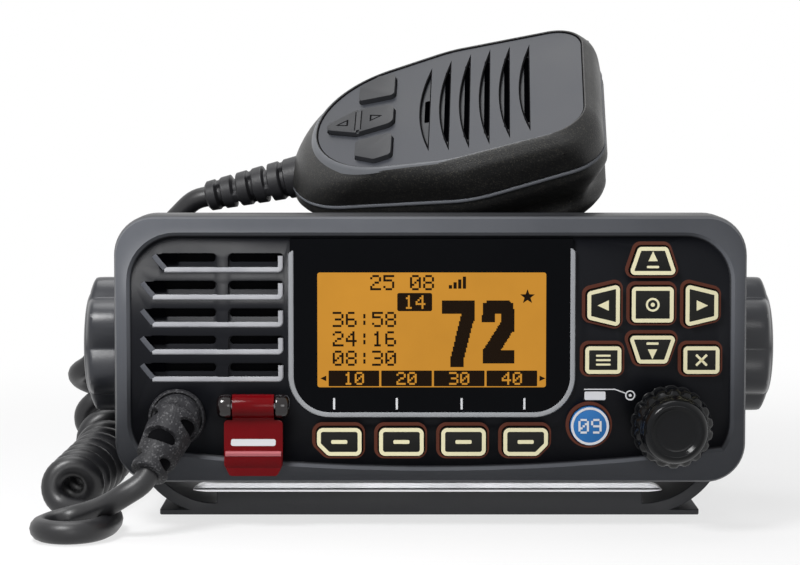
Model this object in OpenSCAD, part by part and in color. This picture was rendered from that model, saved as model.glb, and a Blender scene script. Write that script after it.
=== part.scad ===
// VHF marine radio on its tilting bracket, with its hand microphone resting on
// the case and the curly cord lying beside it.
// Millimetres. +Z is up, the front of the radio looks along -Y. The origin is
// the centre of the underside of the bracket, below the tilting axis.

/* [Bracket and tilting axis] */
// Height of the tilting axis above the surface
axis_z = 41; // [40:0.5:46]
// Room between each side of the case and its arm
arm_space = 4.5; // [4:0.1:8]
// Thickness of the arms
arm_t = 3; // [2.5:0.1:4]
// Radius of the outer lower corners
bracket_corner_r = 22; // [20:0.5:26]
// Depth of the base, front to back
base_d = 65; // [58:1:66]
// Thickness of the base
base_t = 6.4; // [6:0.2:7]
// Radius of the round head of each arm
arm_head_r = 13; // [11:0.5:15]
// Distance between the mounting holes, side to side
hole_dx = 84; // [70:1:96]
// Distance between the mounting holes, front to back
hole_dy = 40; // [34:1:46]
// Diameter of the mounting holes
hole_d = 5.3; // [4.3:0.1:6]

/* [Front unit] */
// Width of the front unit
front_w = 156.5; // [156:0.5:164]
// Height of the front unit
front_h = 66.5; // [66:0.5:70]
// Depth of the front unit
front_d = 15; // [14:0.5:16]
// Distance of the face in front of the tilting axis
axis_to_face = 55; // [54:0.5:60]
// Height of the face centre above the tilting axis
face_rise = 3.5; // [3:0.5:6]
// Radius of the outer corners
front_r = 10; // [8:0.5:12]
// How far the face is smaller than the rim, on each side
face_inset = 0.9; // [0.6:0.1:1.2]
// Wall of the front unit
front_wall = 2.2; // [1.8:0.1:2.6]
// Depth of the dark recess in the face
recess_depth = 1.6; // [1.2:0.1:1.8]

/* [Case behind the front] */
// Width of the case
case_w = 138; // [130:1:142]
// Height of the case
case_h = 57.8; // [54:0.2:58.6]
// Length of the case with its fins
case_d = 95; // [88:1:110]
// Radius of the case's long edges
case_r = 12; // [8:0.5:14]
// Wall of the case
case_wall = 2.6; // [2:0.1:3.2]
// Thickness of the solid back of the case
back_t = 6; // [4:0.5:8]
// Depth of the cooling fins
fin_d = 10; // [6:0.5:14]
// Number of fins
fin_count = 15; // [9:1:17]

/* [Display and speaker] */
// Width of the display lens
lens_w = 69.7; // [64:0.1:71]
// Height of the display lens
lens_h = 43.7; // [40:0.1:44]
// Width of the lit window
window_w = 56.4; // [50:0.2:58]
// Height of the lit window
window_h = 28.4; // [24:0.2:30]
// Number of speaker slots
slot_count = 5; // [3:1:5]
// Distance from slot to slot
slot_pitch = 6.78; // [6:0.01:7]
// Height of a speaker slot
slot_h = 2; // [1.4:0.1:2.6]

/* [Keys and dial] */
// Gap around each key
key_gap = 0.3; // [0.2:0.05:0.4]
// How far a key stands out of the recess
key_rise = 1.5; // [1:0.1:2]
// Travel of a key
key_travel = 0.8; // [0.5:0.1:1]
// Distance from soft key to soft key
softkey_pitch = 15.35; // [14.5:0.05:16]
// Diameter of the dial
dial_d = 19.4; // [17:0.2:21]
// Height of the dial in front of the face
dial_rise = 14; // [11:0.5:18]
// Diameter of the dial's shaft
dial_shaft_d = 6; // [5:0.1:6.4]
// Running clearance of shafts and pins, on the radius
run_gap = 0.05; // [0.03:0.01:0.1]

/* [Emergency key and its cover] */
// Width of the flip cover
cover_w = 14.4; // [13:0.1:16]
// Length of the flip cover below its hinge
cover_h = 17.2; // [15:0.1:17.6]
// Diameter of the hinge barrel
barrel_d = 5.9; // [5:0.1:6.2]
// Diameter of the hinge pin
hinge_pin_d = 1.6; // [1.2:0.1:2]

/* [Clamp knobs] */
// Diameter across the lobes of a clamp knob
knob_d = 35.6; // [30:0.2:35.8]
// Thickness of a clamp knob
knob_t = 12.5; // [9:0.5:14]
// Number of lobes
knob_lobes = 6; // [5:1:8]
// Diameter of the knob's steel stud
stud_d = 5; // [4:0.5:6]
// Thickness of the washer under a clamp knob
washer_t = 1.4; // [1:0.1:2]

/* [Microphone] */
// Thickness of the front shell
mic_front_t = 12; // [11:0.5:13]
// Depth of the rear shell at the speaker end
mic_rear_t = 22.4; // [20:0.2:22.6]
// Depth of the belly of the rear shell below the seam
mic_belly = 8.4; // [7:0.1:9.4]
// Number of slots in the microphone's face
mic_slot_count = 6; // [4:1:6]
// Distance between those slots
mic_slot_pitch = 5.5; // [5:0.05:5.6]
// Rise of the microphone's keys above its face
mic_key_rise = 1.3; // [1:0.1:2]
// Travel of the talk bar
ptt_travel = 1.2; // [0.8:0.1:1.6]

/* [Cord] */
// Diameter of the cord
cord_d = 5.6; // [5:0.1:6]
// Outer radius of the curly part at its front end
coil_r_front = 8; // [7.5:0.1:8.4]
// Outer radius of the curly part at its rear end
coil_r_rear = 9.5; // [9:0.1:10]

/* [Hidden] */
$fn = 48;
eps = 0.02;
soft_fn = 32;
wrap_steps = 72;

// Places of the main planes
face_y = -axis_to_face;
face_z = axis_z + face_rise;
unit_back_y = face_y + front_d;
case_back_y = unit_back_y + case_d;
case_top_z = face_z + case_h / 2;
case_bottom_z = face_z - case_h / 2;

// Depths measured outwards from the face, so that inside is negative
floor_out = -recess_depth;
panel_inner_out = floor_out - front_wall;
mat_out = panel_inner_out - 3.6;
mat_t = 0.8;
board_out = mat_out - mat_t;
board_t = 1.6;
board_screw_d = 2;
board_screw_len = 3;
pillar_hole_len = 9;

// The dark recess in the face: its reach from the face's centre
recess_w = front_w - 8.9;
recess_top = front_h / 2 - 5.35;
recess_low = front_h / 2 - 4.4;
recess_r = 11;
recess_bow_r = 543;

// Centres of the keys on the face: across and up from the face's centre
softkey_x = [-1.5, -0.5, 0.5, 1.5] * softkey_pitch + [0.5, 0.5, 0.5, 0.5];
softkey_z = -22.8;
key_size = [11.2, 7.1];
side_key_size = [8.2, 10.2];
enter_size = [10.5, 9];
low_key_size = [9.1, 7];
up_at = [54.7, 22];
down_at = [54.7, 0.1];
enter_at = [54.7, 11.2];
left_at = [42.6, 11];
right_at = [66.8, 11];
menu_at = [42.6, -2.5];
clear_at = [66.8, -2.5];
round_at = [39.4, -18.9];
round_d = 9.6;
dial_at = [59.3, 10.25 - recess_low];
cover_x = -43.6;
hinge_z = -13.7;
gland_at = [-62.7, -16.9];
lens_at = [0.25, 5.55];
window_at = [0.3, 4.9];
grille_left = -69.6;
grille_right = -36.1;
grille_rib_x = -51.3;
grille_rib_w = 2.7;
grille_top_z = 22.6;

// ------------------------------------------------------------------ helpers

// A rectangle about the origin with round corners, all arcs true
module round_rect(w, h, r) {
  square([w - 2 * r, h], center = true);
  square([w, h - 2 * r], center = true);
  for (sx = [-1, 1], sy = [-1, 1])
    translate([sx * (w / 2 - r), sy * (h / 2 - r)]) circle(r);
}

// Puts a shape drawn in the plane of the face at (x, z), its +Z outwards
module on_face(at, out) {
  translate([at[0], face_y - out, face_z + at[1]]) rotate([90, 0, 0]) children();
}

// A shape with round corners of radius r about the given points
module dots(points, r) offset(r = r, $fn = soft_fn) polygon(points);

// The circle [x, y, r] of a list that reaches furthest in the direction u
function furthest(circles, u) = let (
    reach = [for (c = circles) c[0] * u[0] + c[1] * u[1] + c[2]], most = max(reach))
  [for (i = [0:len(circles) - 1]) if (reach[i] == most) circles[i]][0];

// The outline that wraps tightly round circles grown by a margin
module wrapped(circles, grow) polygon([for (k = [0:wrap_steps - 1])
  let (a = 360 * (k + 0.5) / wrap_steps, u = [cos(a), sin(a)], c = furthest(circles, u))
    [c[0], c[1]] + (c[2] + grow) * u]);

// A straight rod between two heights along X at the tilting axis
module axis_rod(x0, x1, d) {
  translate([x0, 0, axis_z]) rotate([0, 90, 0]) cylinder(h = x1 - x0, d = d);
}

// ------------------------------------------------------------- bracket

bracket_in = case_w / 2 + arm_space;
bracket_out = bracket_in + arm_t;
arm_low_z = 13;
foot_reach = bracket_out - 7.5;
foot_t = 1.4;
arm_bore_play = 0.6;

// The outline of a U from the front: half width, corner radius and height
module u_outline(half, r, h) {
  translate([-half + r, 0]) square([2 * (half - r), h]);
  translate([-half, r]) square([2 * half, h - r]);
  for (s = [-1, 1]) translate([s * (half - r), r]) circle(r, $fn = 96);
}

module bracket_sheet() {
  top = axis_z + arm_head_r + 2;
  rotate([90, 0, 0]) linear_extrude(base_d, center = true) difference() {
    u_outline(bracket_out, bracket_corner_r, top);
    translate([0, arm_t]) u_outline(bracket_in, bracket_corner_r - arm_t, top);
  }
}

// The side view of the bracket: a deep foot that narrows to a round head
module bracket_side() {
  rotate([90, 0, 90]) linear_extrude(2 * bracket_out + 2, center = true) {
    polygon([[-base_d / 2, -1], [base_d / 2, -1], [base_d / 2, arm_low_z],
      [arm_head_r, axis_z], [-arm_head_r, axis_z], [-base_d / 2, arm_low_z]]);
    translate([0, axis_z]) circle(arm_head_r);
  }
}

// Hollow cells of the base's underside, and the sunk seats of its holes
cell_w = 13;
cell_d = 16;
cell_rib = 3;
cell_roof_t = 2.4;
hole_seat_d = hole_d + 4.4;
hole_seat_deep = 1.6;
base_flat = bracket_out - bracket_corner_r;

module mounting_bracket() color([0.16, 0.17, 0.19]) difference() {
  union() {
    intersection() {
      bracket_sheet();
      bracket_side();
    }
    translate([-base_flat, -base_d / 2, 0]) cube([2 * base_flat, base_d, base_t]);
    translate([-foot_reach, -base_d / 2, 0]) cube([2 * foot_reach, base_d, foot_t]);
  }
  for (x = [-1.5:1:1.5], y = [-1:1])
    translate([x * (cell_w + cell_rib) - cell_w / 2, y * (cell_d + cell_rib) - cell_d / 2, -1])
      cube([cell_w, cell_d, base_t - cell_roof_t + 1]);
  for (x = [-1, 1], y = [-1, 1])
    translate([x * hole_dx / 2, y * hole_dy / 2, -1])
      cylinder(h = base_t + 2, d = hole_d);
  for (x = [-1, 1], y = [-1, 1])
    translate([x * hole_dx / 2, y * hole_dy / 2, base_t - hole_seat_deep])
      cylinder(h = hole_seat_deep + 1, d = hole_seat_d);
  axis_rod(-bracket_out - 1, bracket_out + 1, stud_d + arm_bore_play);
}

pad_t = 1;
pad_d = 18;
boss_end = bracket_in - key_gap - pad_t;

// Rubber rings between the bosses of the case and the arms
module arm_pads() color([0.08, 0.08, 0.08])
  for (s = [-1, 1]) mirror([s < 0 ? 1 : 0, 0, 0]) difference() {
    axis_rod(boss_end, boss_end + pad_t, pad_d);
    axis_rod(boss_end - 1, boss_end + pad_t + 1, stud_d + 1);
  }

// -------------------------------------------------------- clamp knobs

knob_in = bracket_out + 0.3 + washer_t;
knob_out = knob_in + knob_t;
lobe_d = 11;
insert_len = 7;
insert_d = stud_d + 4;

// The right-hand knob: a round core, lobes around it and a dished cap
module knob_form() difference() {
  union() {
    axis_rod(knob_in, knob_out - 2, knob_d - 6);
    axis_rod(knob_out - 2, knob_out, knob_d - 10);
    for (i = [0:knob_lobes - 1])
      translate([0, 0, axis_z]) rotate([i * 360 / knob_lobes + 30, 0, 0])
        translate([0, 0, (knob_d - lobe_d) / 2 - axis_z])
          axis_rod(knob_in + 1.5, knob_out - 1, lobe_d);
  }
  axis_rod(knob_in - 1, knob_out - 4, stud_d);
  axis_rod(knob_out - 0.8, knob_out + 1, knob_d - 16);
}

module stud_form() {
  axis_rod(bracket_in - key_gap - pad_t - insert_len + 1, knob_out - 4, stud_d);
}

module washer_form() difference() {
  axis_rod(bracket_out + 0.3, knob_in, stud_d + 9);
  axis_rod(bracket_out, knob_in + 1, stud_d + 2 * run_gap);
}

module left_side() mirror([1, 0, 0]) children();

module left_knob() color([0.12, 0.12, 0.14]) left_side() knob_form();
module right_knob() color([0.12, 0.12, 0.14]) knob_form();
module left_knob_stud() color([0.7, 0.7, 0.7]) left_side() stud_form();
module right_knob_stud() color([0.7, 0.7, 0.7]) stud_form();
module left_knob_washer() color([0.5, 0.5, 0.5]) left_side() washer_form();
module right_knob_washer() color([0.5, 0.5, 0.5]) washer_form();

// ---------------------------------------------------------- front unit

// The outline of the dark recess: round corners and a bowed lower edge
module recess_outline(grow) intersection() {
  translate([0, (recess_top - recess_low) / 2])
    round_rect(recess_w + 2 * grow, recess_top + recess_low + 2 * grow, recess_r + grow);
  translate([0, recess_bow_r - recess_low]) circle(recess_bow_r + grow, $fn = 720);
}

module front_outer() hull() {
  on_face([0, 0], -front_d)
    linear_extrude(front_d - 4) round_rect(front_w, front_h, front_r);
  on_face([0, 0], -1.8) linear_extrude(0.6)
    round_rect(front_w - 0.7, front_h - 0.7, front_r - 0.3);
  on_face([0, 0], -0.4) linear_extrude(0.4)
    round_rect(front_w - 2 * face_inset, front_h - 2 * face_inset, front_r - face_inset);
}

module recess_cut() hull() {
  on_face([0, 0], floor_out) linear_extrude(0.1) recess_outline(0);
  on_face([0, 0], 0) linear_extrude(0.1) recess_outline(1.1);
}

// The hollow behind the face
module front_cavity() on_face([0, 0], -front_d - 1)
  linear_extrude(front_d + 1 + panel_inner_out)
    round_rect(front_w - 2 * front_wall - 1, front_h - 2 * front_wall - 1, front_r - 2);

groove_deep = 0.8;
groove_drop = 0.9;
groove_more_h = 2.3;
row_indent = [2.6, 0.6, 0, 0, 0];

// One groove and its slot in two lengths, parted by the upright rib
module grille_row(i) {
  z = grille_top_z - i * slot_pitch;
  left = grille_left + row_indent[i];
  for (part = [[left, grille_rib_x - grille_rib_w / 2],
      [grille_rib_x + grille_rib_w / 2, grille_right]]) {
    w = part[1] - part[0];
    mid = (part[0] + part[1]) / 2;
    on_face([mid, z - groove_drop], floor_out - groove_deep)
      linear_extrude(2) round_rect(w, slot_h + groove_more_h, 1.2);
    on_face([mid, z], panel_inner_out - 1)
      linear_extrude(front_wall + 2) round_rect(w - 0.8, slot_h, 0.45 * slot_h);
  }
}

// Corner radii of the keys, and how much the slanted ones narrow
soft_r = 1.6;
soft_cut = 1.8;
key_r = 1.2;
tall_cut = 1.6;
wide_cut = 1.4;

// The outlines of the keys, each with a margin
module soft_outline(i, grow) {
  w = key_size[0] / 2 - soft_r;
  h = key_size[1] / 2 - soft_r;
  low_left = i == 0 ? soft_cut : 0;
  low_right = i == 3 ? soft_cut : 0;
  dots([[-w + low_left, -h], [w - low_right, -h], [w, -h + low_right], [w, h],
    [-w, h], [-w, -h + low_left]], soft_r + grow);
}

module tall_outline(grow) {
  w = key_size[0] / 2 - key_r;
  h = key_size[1] / 2 - key_r;
  dots([[-w, -h], [w, -h], [w - tall_cut, h], [tall_cut - w, h]], key_r + grow);
}

module wide_outline(grow) {
  w = side_key_size[0] / 2 - key_r;
  h = side_key_size[1] / 2 - key_r;
  dots([[-w, wide_cut - h], [w, -h], [w, h], [-w, h - wide_cut]], key_r + grow);
}

module plain_outline(size, grow) {
  w = size[0] / 2 - key_r;
  h = size[1] / 2 - key_r;
  dots([[-w, -h], [w, -h], [w, h], [-w, h]], key_r + grow);
}

module softkey_holes() for (i = [0:3])
  on_face([softkey_x[i], softkey_z], panel_inner_out - 1)
    linear_extrude(front_wall + 2) soft_outline(i, key_gap);

module hole_at(at) on_face(at, panel_inner_out - 1)
  linear_extrude(front_wall + 2) children();

module pad_holes() {
  hole_at(up_at) tall_outline(key_gap);
  hole_at(down_at) mirror([0, 1]) tall_outline(key_gap);
  hole_at(left_at) wide_outline(key_gap);
  hole_at(right_at) mirror([1, 0]) wide_outline(key_gap);
  hole_at(enter_at) plain_outline(enter_size, key_gap);
  hole_at(menu_at) plain_outline(low_key_size, key_gap);
  hole_at(clear_at) plain_outline(low_key_size, key_gap);
  hole_at(round_at) circle(round_d / 2 + key_gap);
}

dkey_size = [10.6, 7.6];
dkey_at = [cover_x, hinge_z - 8.5];
plunger_d = dial_shaft_d + 2.4;
lens_seat = 0.8;
gland_d = 14;
grommet_d = gland_d - 3;
screw_d = 2.5;
pillar_d = 5.2;
pillar_top_z = min(front_h / 2 - 8.05, case_h / 2 - 3.7);
pillar_at = [[-32.4, pillar_top_z], [40, pillar_top_z], [-33.2, -14.5], [35, -10.3]];
board_low_z = front_h / 2 - front_wall - 2.85;
board_pillar_at = [[-31.8, -board_low_z], [32.6, -board_low_z],
  [70.6, board_low_z - 1.6], [47.5, -board_low_z]];
board_pillar_d = 3.8;

module front_panel() color([0.36, 0.38, 0.41]) difference() {
  union() {
    difference() {
      front_outer();
      recess_cut();
      front_cavity();
    }
    // Pillars that the long screws from the back of the case hold
    for (p = pillar_at) on_face(p, -front_d)
      cylinder(h = front_d + panel_inner_out + eps, d = pillar_d);
    for (p = board_pillar_at) on_face(p, board_out)
      cylinder(h = panel_inner_out - board_out + eps, d = board_pillar_d);
  }
  for (p = pillar_at) on_face(p, -front_d - 1)
    cylinder(h = pillar_hole_len + 1, d = screw_d);
  for (p = board_pillar_at) on_face(p, board_out - 1)
    cylinder(h = 1 + board_screw_len, d = board_screw_d);
  for (i = [0:slot_count - 1]) grille_row(i);
  on_face(lens_at, floor_out - lens_seat) linear_extrude(3) lens_outline(0.1);
  on_face(window_at, panel_inner_out - 1)
    linear_extrude(4) square([window_w + 1.2, window_h + 1.2], center = true);
  softkey_holes();
  pad_holes();
  hole_at(dial_at) circle(plunger_d / 2 + key_gap);
  hole_at(dkey_at) plain_outline(dkey_size, key_gap);
  hole_at(gland_at) circle(d = grommet_d);
}

// Rubber seal between the front unit and the case, with ears for the screws
gasket_t = 1.2;
module front_gasket() color([0.06, 0.06, 0.06])
  on_face([0, 0], -front_d - gasket_t) linear_extrude(gasket_t) difference() {
    round_rect(case_w - 1, case_h - 1, case_r - 0.5);
    difference() {
      round_rect(case_w - 2 * case_wall - 1, case_h - 2 * case_wall - 1, case_r - case_wall);
      for (p = pillar_at) translate(p) circle(d = pillar_d);
    }
    for (p = pillar_at) translate(p) circle(d = screw_d + 0.4);
  }

// -------------------------------------------------- speaker and display

speaker_at = [(grille_left + grille_right) / 2, 9];
speaker_r = 17;
cloth_t = 0.5;

module speaker_cloth() color([0.03, 0.03, 0.03])
  on_face(speaker_at, panel_inner_out - cloth_t)
    linear_extrude(cloth_t) square([2 * speaker_r + 1, 2 * speaker_r + 1], center = true);

// A small cone speaker: rim, basket, magnet and dished cone
module speaker() color([0.25, 0.25, 0.27])
  on_face(speaker_at, panel_inner_out - cloth_t) rotate([180, 0, 0]) rotate_extrude()
    polygon([[0, 3.5], [6, 3.2], [speaker_r - 2, 0.8], [speaker_r - 1.5, 0], [speaker_r, 0],
      [speaker_r, 2.4], [speaker_r - 2, 2.8], [11, 8], [11, 13], [0, 13]]);

lens_t = 1.6;

module lens_outline(grow) {
  w = lens_w / 2;
  h = lens_h / 2;
  r_low = 9;
  translate([-w - grow, r_low - h])
    square([2 * (w + grow), 2 * h - r_low + grow]);
  translate([r_low - w, -h - grow]) square([2 * (w - r_low), r_low + 1]);
  for (s = [-1, 1]) translate([s * (w - r_low), r_low - h]) circle(r_low + grow);
}

module display_lens() color([0.04, 0.04, 0.05])
  on_face(lens_at, floor_out - lens_seat) linear_extrude(lens_t) lens_outline(0);

lcd_depth = panel_inner_out - board_out;
lcd_out = panel_inner_out;
lcd_rim_w = 3;
lcd_rim_h = 5;

// The lit panel: its glass stands in the window, its frame behind the wall
module lcd_module() color([0.83, 0.58, 0.2]) {
  on_face(window_at, lcd_out) linear_extrude(floor_out - lens_seat - lcd_out - 0.1)
    square([window_w, window_h], center = true);
  on_face(window_at, lcd_out - lcd_depth) linear_extrude(lcd_depth)
    square([window_w + lcd_rim_w, window_h + lcd_rim_h], center = true);
}

// ------------------------------------------------------------------ keys

flange_t = 0.8;
flange_out = panel_inner_out - 0.3 - flange_t;
key_top_out = floor_out + key_rise;

// A key from its outline: a cap through the wall and a wider flange behind
module key_body(at, top_out) {
  on_face(at, flange_out) linear_extrude(flange_t) offset(delta = 0.9) children();
  on_face(at, flange_out + flange_t - eps)
    linear_extrude(top_out - 0.3 - flange_out - flange_t + eps) children();
  on_face(at, top_out - 0.3) linear_extrude(0.3) offset(delta = -0.25) children();
}

key_grey = [0.12, 0.12, 0.13];
module softkey(i) color(key_grey)
  key_body([softkey_x[i], softkey_z], key_top_out) soft_outline(i, 0);
module softkey_1() softkey(0);
module softkey_2() softkey(1);
module softkey_3() softkey(2);
module softkey_4() softkey(3);
module key_up() color(key_grey) key_body(up_at, key_top_out) tall_outline(0);
module key_down() color(key_grey)
  key_body(down_at, key_top_out) mirror([0, 1]) tall_outline(0);
module key_left() color(key_grey) key_body(left_at, key_top_out) wide_outline(0);
module key_right() color(key_grey)
  key_body(right_at, key_top_out) mirror([1, 0]) wide_outline(0);
module key_enter() color(key_grey)
  key_body(enter_at, key_top_out) plain_outline(enter_size, 0);
module key_menu() color(key_grey)
  key_body(menu_at, key_top_out) plain_outline(low_key_size, 0);
module key_clear() color(key_grey)
  key_body(clear_at, key_top_out) plain_outline(low_key_size, 0);
module key_round() color([0.18, 0.46, 0.75])
  key_body(round_at, key_top_out) circle(round_d / 2);

// The key under the flip cover, with a flange of its own
module distress_key() color([0.62, 0.1, 0.1]) {
  on_face(dkey_at, flange_out) linear_extrude(flange_t) plain_outline(dkey_size, 0.9);
  on_face(dkey_at, flange_out + flange_t - eps)
    linear_extrude(dkey_top_out - flange_out - flange_t + eps) plain_outline(dkey_size, 0);
}

dome_d = 5;
dome_out = flange_out - key_travel - 0.3;
all_key_at = concat([for (x = softkey_x) [x, softkey_z]],
  [up_at, down_at, enter_at, left_at, right_at, menu_at, clear_at, round_at, dkey_at]);

// Patches of the mat: below the pad of keys, the round key and the lower row
pad_patch = [[left_at[0] - 9.1, menu_at[1] - 5], [right_at[0] + 4.7, up_at[1] + 5.5]];
round_patch = [[pad_patch[0][0], round_at[1] - 1.1], [round_at[0] + 5.1, pad_patch[0][1] + 0.5]];
row_patch = [[dkey_at[0] - 6.9, softkey_z - 4], [round_at[0] + 6.6, softkey_z + 4.2]];

// The rubber mat below the keys, with a dome for each
module keypad_mat() color([0.75, 0.75, 0.72]) difference() {
  union() {
    on_face([0, 0], mat_out - mat_t) linear_extrude(mat_t) {
      for (p = [pad_patch, round_patch, row_patch]) translate(p[0]) square(p[1] - p[0]);
    }
    for (p = all_key_at) on_face(p, mat_out - eps)
      cylinder(h = dome_out - mat_out + eps, d = dome_d);
  }
  for (p = concat(pillar_at, board_pillar_at))
    on_face(p, mat_out - 3) cylinder(h = 5, d = pillar_d + 1);
}

board_left = -37;
board_right = front_w / 2 - 5.25;
board_half_h = front_h / 2 - front_wall - 1.25;
board_tab = [[dkey_at[0] - 7.4, -board_half_h], [board_left + 1, dkey_at[1] + 9.4]];

// The board behind the keys and the display, with a tab under the red key
module front_board() color([0.1, 0.35, 0.2]) on_face([0, 0], board_out - board_t)
  linear_extrude(board_t) difference() {
    union() {
      translate([board_left, -board_half_h])
        square([board_right - board_left, 2 * board_half_h]);
      translate(board_tab[0]) square(board_tab[1] - board_tab[0]);
    }
    difference() {
      square(2 * front_w, center = true);
      round_rect(front_w - 2 * front_wall - 2.2, front_h - 2 * front_wall - 2.2, front_r - 2);
    }
    for (p = pillar_at) translate(p) circle(d = pillar_d + 0.6);
    for (p = board_pillar_at) translate(p) circle(d = board_screw_d + 0.4);
  }

// ------------------------------------------------------------------ dial

dial_push = 0.5;
dial_foot_out = dial_push + 0.4;
dial_collar_d = 13;
encoder_h = panel_inner_out - board_out - 0.4;
encoder_w = 13;

module dial_encoder() color([0.6, 0.6, 0.6]) difference() {
  on_face(dial_at, board_out) translate([-encoder_w / 2, -encoder_w / 2, 0])
    cube([encoder_w, encoder_w, encoder_h]);
  on_face(dial_at, board_out + 0.2)
    cylinder(h = encoder_h, d = plunger_d + 2 * run_gap);
}

// The sleeve that the dial pushes in, with a collar below the dial
module dial_plunger() color([0.2, 0.2, 0.2]) difference() {
  union() {
    on_face(dial_at, board_out + 0.3 + dial_push)
      cylinder(h = dial_foot_out - 0.4 - board_out - 0.3 - dial_push, d = plunger_d);
    on_face(dial_at, floor_out + dial_push + 0.3)
      cylinder(h = dial_foot_out - 0.3 - floor_out - dial_push - 0.3, d = dial_collar_d);
  }
  on_face(dial_at, board_out + 1.2)
    cylinder(h = 10, d = dial_shaft_d + 2 * run_gap);
}

module dial_shaft() color([0.8, 0.8, 0.8]) on_face(dial_at, board_out + 1.5)
  cylinder(h = dial_rise - 3 - board_out - 1.5, d = dial_shaft_d);

// The dial: a skirt with finger flutes, a shoulder and a dished front
module dial_knob() color([0.08, 0.08, 0.09]) difference() {
  r = dial_d / 2;
  on_face(dial_at, 0) rotate_extrude($fn = 96)
    polygon([[0, dial_foot_out], [r, dial_foot_out], [r, dial_rise - 5.5],
      [r - 0.8, dial_rise - 4.7], [r - 1.4, dial_rise - 1.4], [r - 2.8, dial_rise],
      [r - 3.4, dial_rise], [r - 4, dial_rise - 0.6], [0, dial_rise - 0.6]]);
  for (i = [0:17]) on_face(dial_at, dial_foot_out - 1) rotate([0, 0, i * 20])
    translate([r + 1, 0, 0]) cylinder(h = dial_rise - 4 - dial_foot_out, d = 3.2, $fn = 24);
  on_face(dial_at, dial_foot_out - 1)
    cylinder(h = dial_rise - 3 - dial_foot_out + 1, d = dial_shaft_d);
}

// ------------------------------------------- emergency key's flip cover

hinge_out = barrel_d / 2 + floor_out + 0.4;
hinge_w = 18;
lug_w = 3.6;
neck_w = hinge_w - 2 * lug_w - 2 * key_gap;
flap_out = 1.2;
flap_t = 1.4;
skirt_t = 1;
dkey_top_out = flap_out - 0.6;

// A rod along the hinge of the cover, centred on it
module hinge_rod(w, d) translate([cover_x - w / 2, face_y - hinge_out, face_z + hinge_z])
  rotate([0, 90, 0]) cylinder(h = w, d = d);

module distress_hinge_lugs() color([0.45, 0.05, 0.06]) difference() {
  union() for (s = [-1, 1]) translate([s * (hinge_w - lug_w) / 2, 0, 0]) {
    hinge_rod(lug_w, barrel_d);
    on_face([cover_x, hinge_z], floor_out) translate([-lug_w / 2, -barrel_d / 2, 0])
      cube([lug_w, barrel_d, hinge_out - floor_out]);
  }
  hinge_rod(hinge_w + 2, hinge_pin_d);
}

module distress_hinge_pin() color([0.8, 0.8, 0.8]) hinge_rod(hinge_w, hinge_pin_d);

module distress_cover() color([0.75, 0.08, 0.1]) difference() {
  top = hinge_z - barrel_d / 2 - 0.4;
  low = hinge_z - cover_h;
  union() {
    hinge_rod(neck_w, barrel_d);
    on_face([cover_x, 0], flap_out) translate([-neck_w / 2, top - 1, 0])
      cube([neck_w, hinge_z - top + 1, flap_t]);
    on_face([cover_x, 0], flap_out) linear_extrude(flap_t) dots([
      [-cover_w / 2 + 1, top - 1], [cover_w / 2 - 1, top - 1],
      [cover_w / 2 - 1, low + 3], [cover_w / 2 - 2, low + 1],
      [-cover_w / 2 + 2, low + 1], [-cover_w / 2 + 1, low + 3]], 1);
    for (s = [-1, 1]) on_face([cover_x + s * (cover_w - skirt_t) / 2, 0], floor_out + 0.4)
      translate([-skirt_t / 2, hinge_z - 12.6, 0])
        cube([skirt_t, 8, flap_out - floor_out - 0.4 + eps]);
  }
  hinge_rod(neck_w + 2, hinge_pin_d + 2 * run_gap);
}

// ----------------------------------------------- gland of the front cord

collar_t = 3;
boot_len = 17;
boot_drop = 46;
boot_turn = -30.5;
boot_r0 = 6.4;
boot_r1 = 4.6;
boot_start = 4;

module boot_place() on_face(gland_at, floor_out + collar_t)
  rotate([boot_drop, boot_turn, 0]) children();

// A tapered sleeve with ring grooves, standing on +Z
module ribbed_sleeve(len, r0, r1, grooves) {
  step = len / (grooves + 0.6);
  rotate_extrude() polygon(concat([[0, 0]],
    [for (i = [0:grooves - 1]) let (z = i * step, r = r0 + (r1 - r0) * z / len)
      each [[r, z], [r, z + step * 0.62], [r - 0.9, z + step * 0.66], [r - 0.9, z + step]]],
    [[r1 + 0.2, grooves * step], [r1, len], [0, len]]));
}

module cord_gland() color([0.13, 0.13, 0.14]) {
  on_face(gland_at, panel_inner_out - 1.5) cylinder(h = 1.5, d = gland_d - 0.6);
  on_face(gland_at, panel_inner_out - eps)
    cylinder(h = front_wall + 2 * eps, d = grommet_d);
  on_face(gland_at, floor_out) cylinder(h = collar_t, d = gland_d);
  on_face(gland_at, floor_out + collar_t) sphere(boot_r0 - 0.2);
  boot_place() cylinder(h = boot_start, r1 = boot_r0 - 2.4, r2 = boot_r0 - 0.4);
  boot_place() translate([0, 0, boot_start])
    ribbed_sleeve(boot_len - boot_start, boot_r0, boot_r1, 4);
}

// ------------------------------------------------------------------ case

insert_wall = 3;
case_hollow_end_y = case_back_y - fin_d - back_t;
fin_t = 1.8;
column_d = 8;
column_bore_d = 5.6;
screw_head_y = unit_back_y + 8;
main_board_z = case_bottom_z + case_wall + 5;
main_board_half = boss_end - insert_len - insert_wall - 2.2;
main_board_y = [unit_back_y + 11, case_hollow_end_y - 6];
main_post_x = main_board_half - 8;
main_post_at = [for (x = [-main_post_x, main_post_x], y = main_board_y + [5, -7]) [x, y]];
shield_size = [43, 26, 5];
power_size = [22, 24, 4];
antenna_at = [0, 12];
gps_at = [-40, -12];
grommet_at = [40, -12];
rear_pad_r = 10;

// Extrudes an outline of the case along Y between two planes
module along_y(y0, y1) translate([0, y1, face_z]) rotate([90, 0, 0])
  linear_extrude(y1 - y0) children();

module rear_places() for (p = [antenna_at, gps_at, grommet_at])
  translate([p[0], 0, p[1]]) children();

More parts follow.
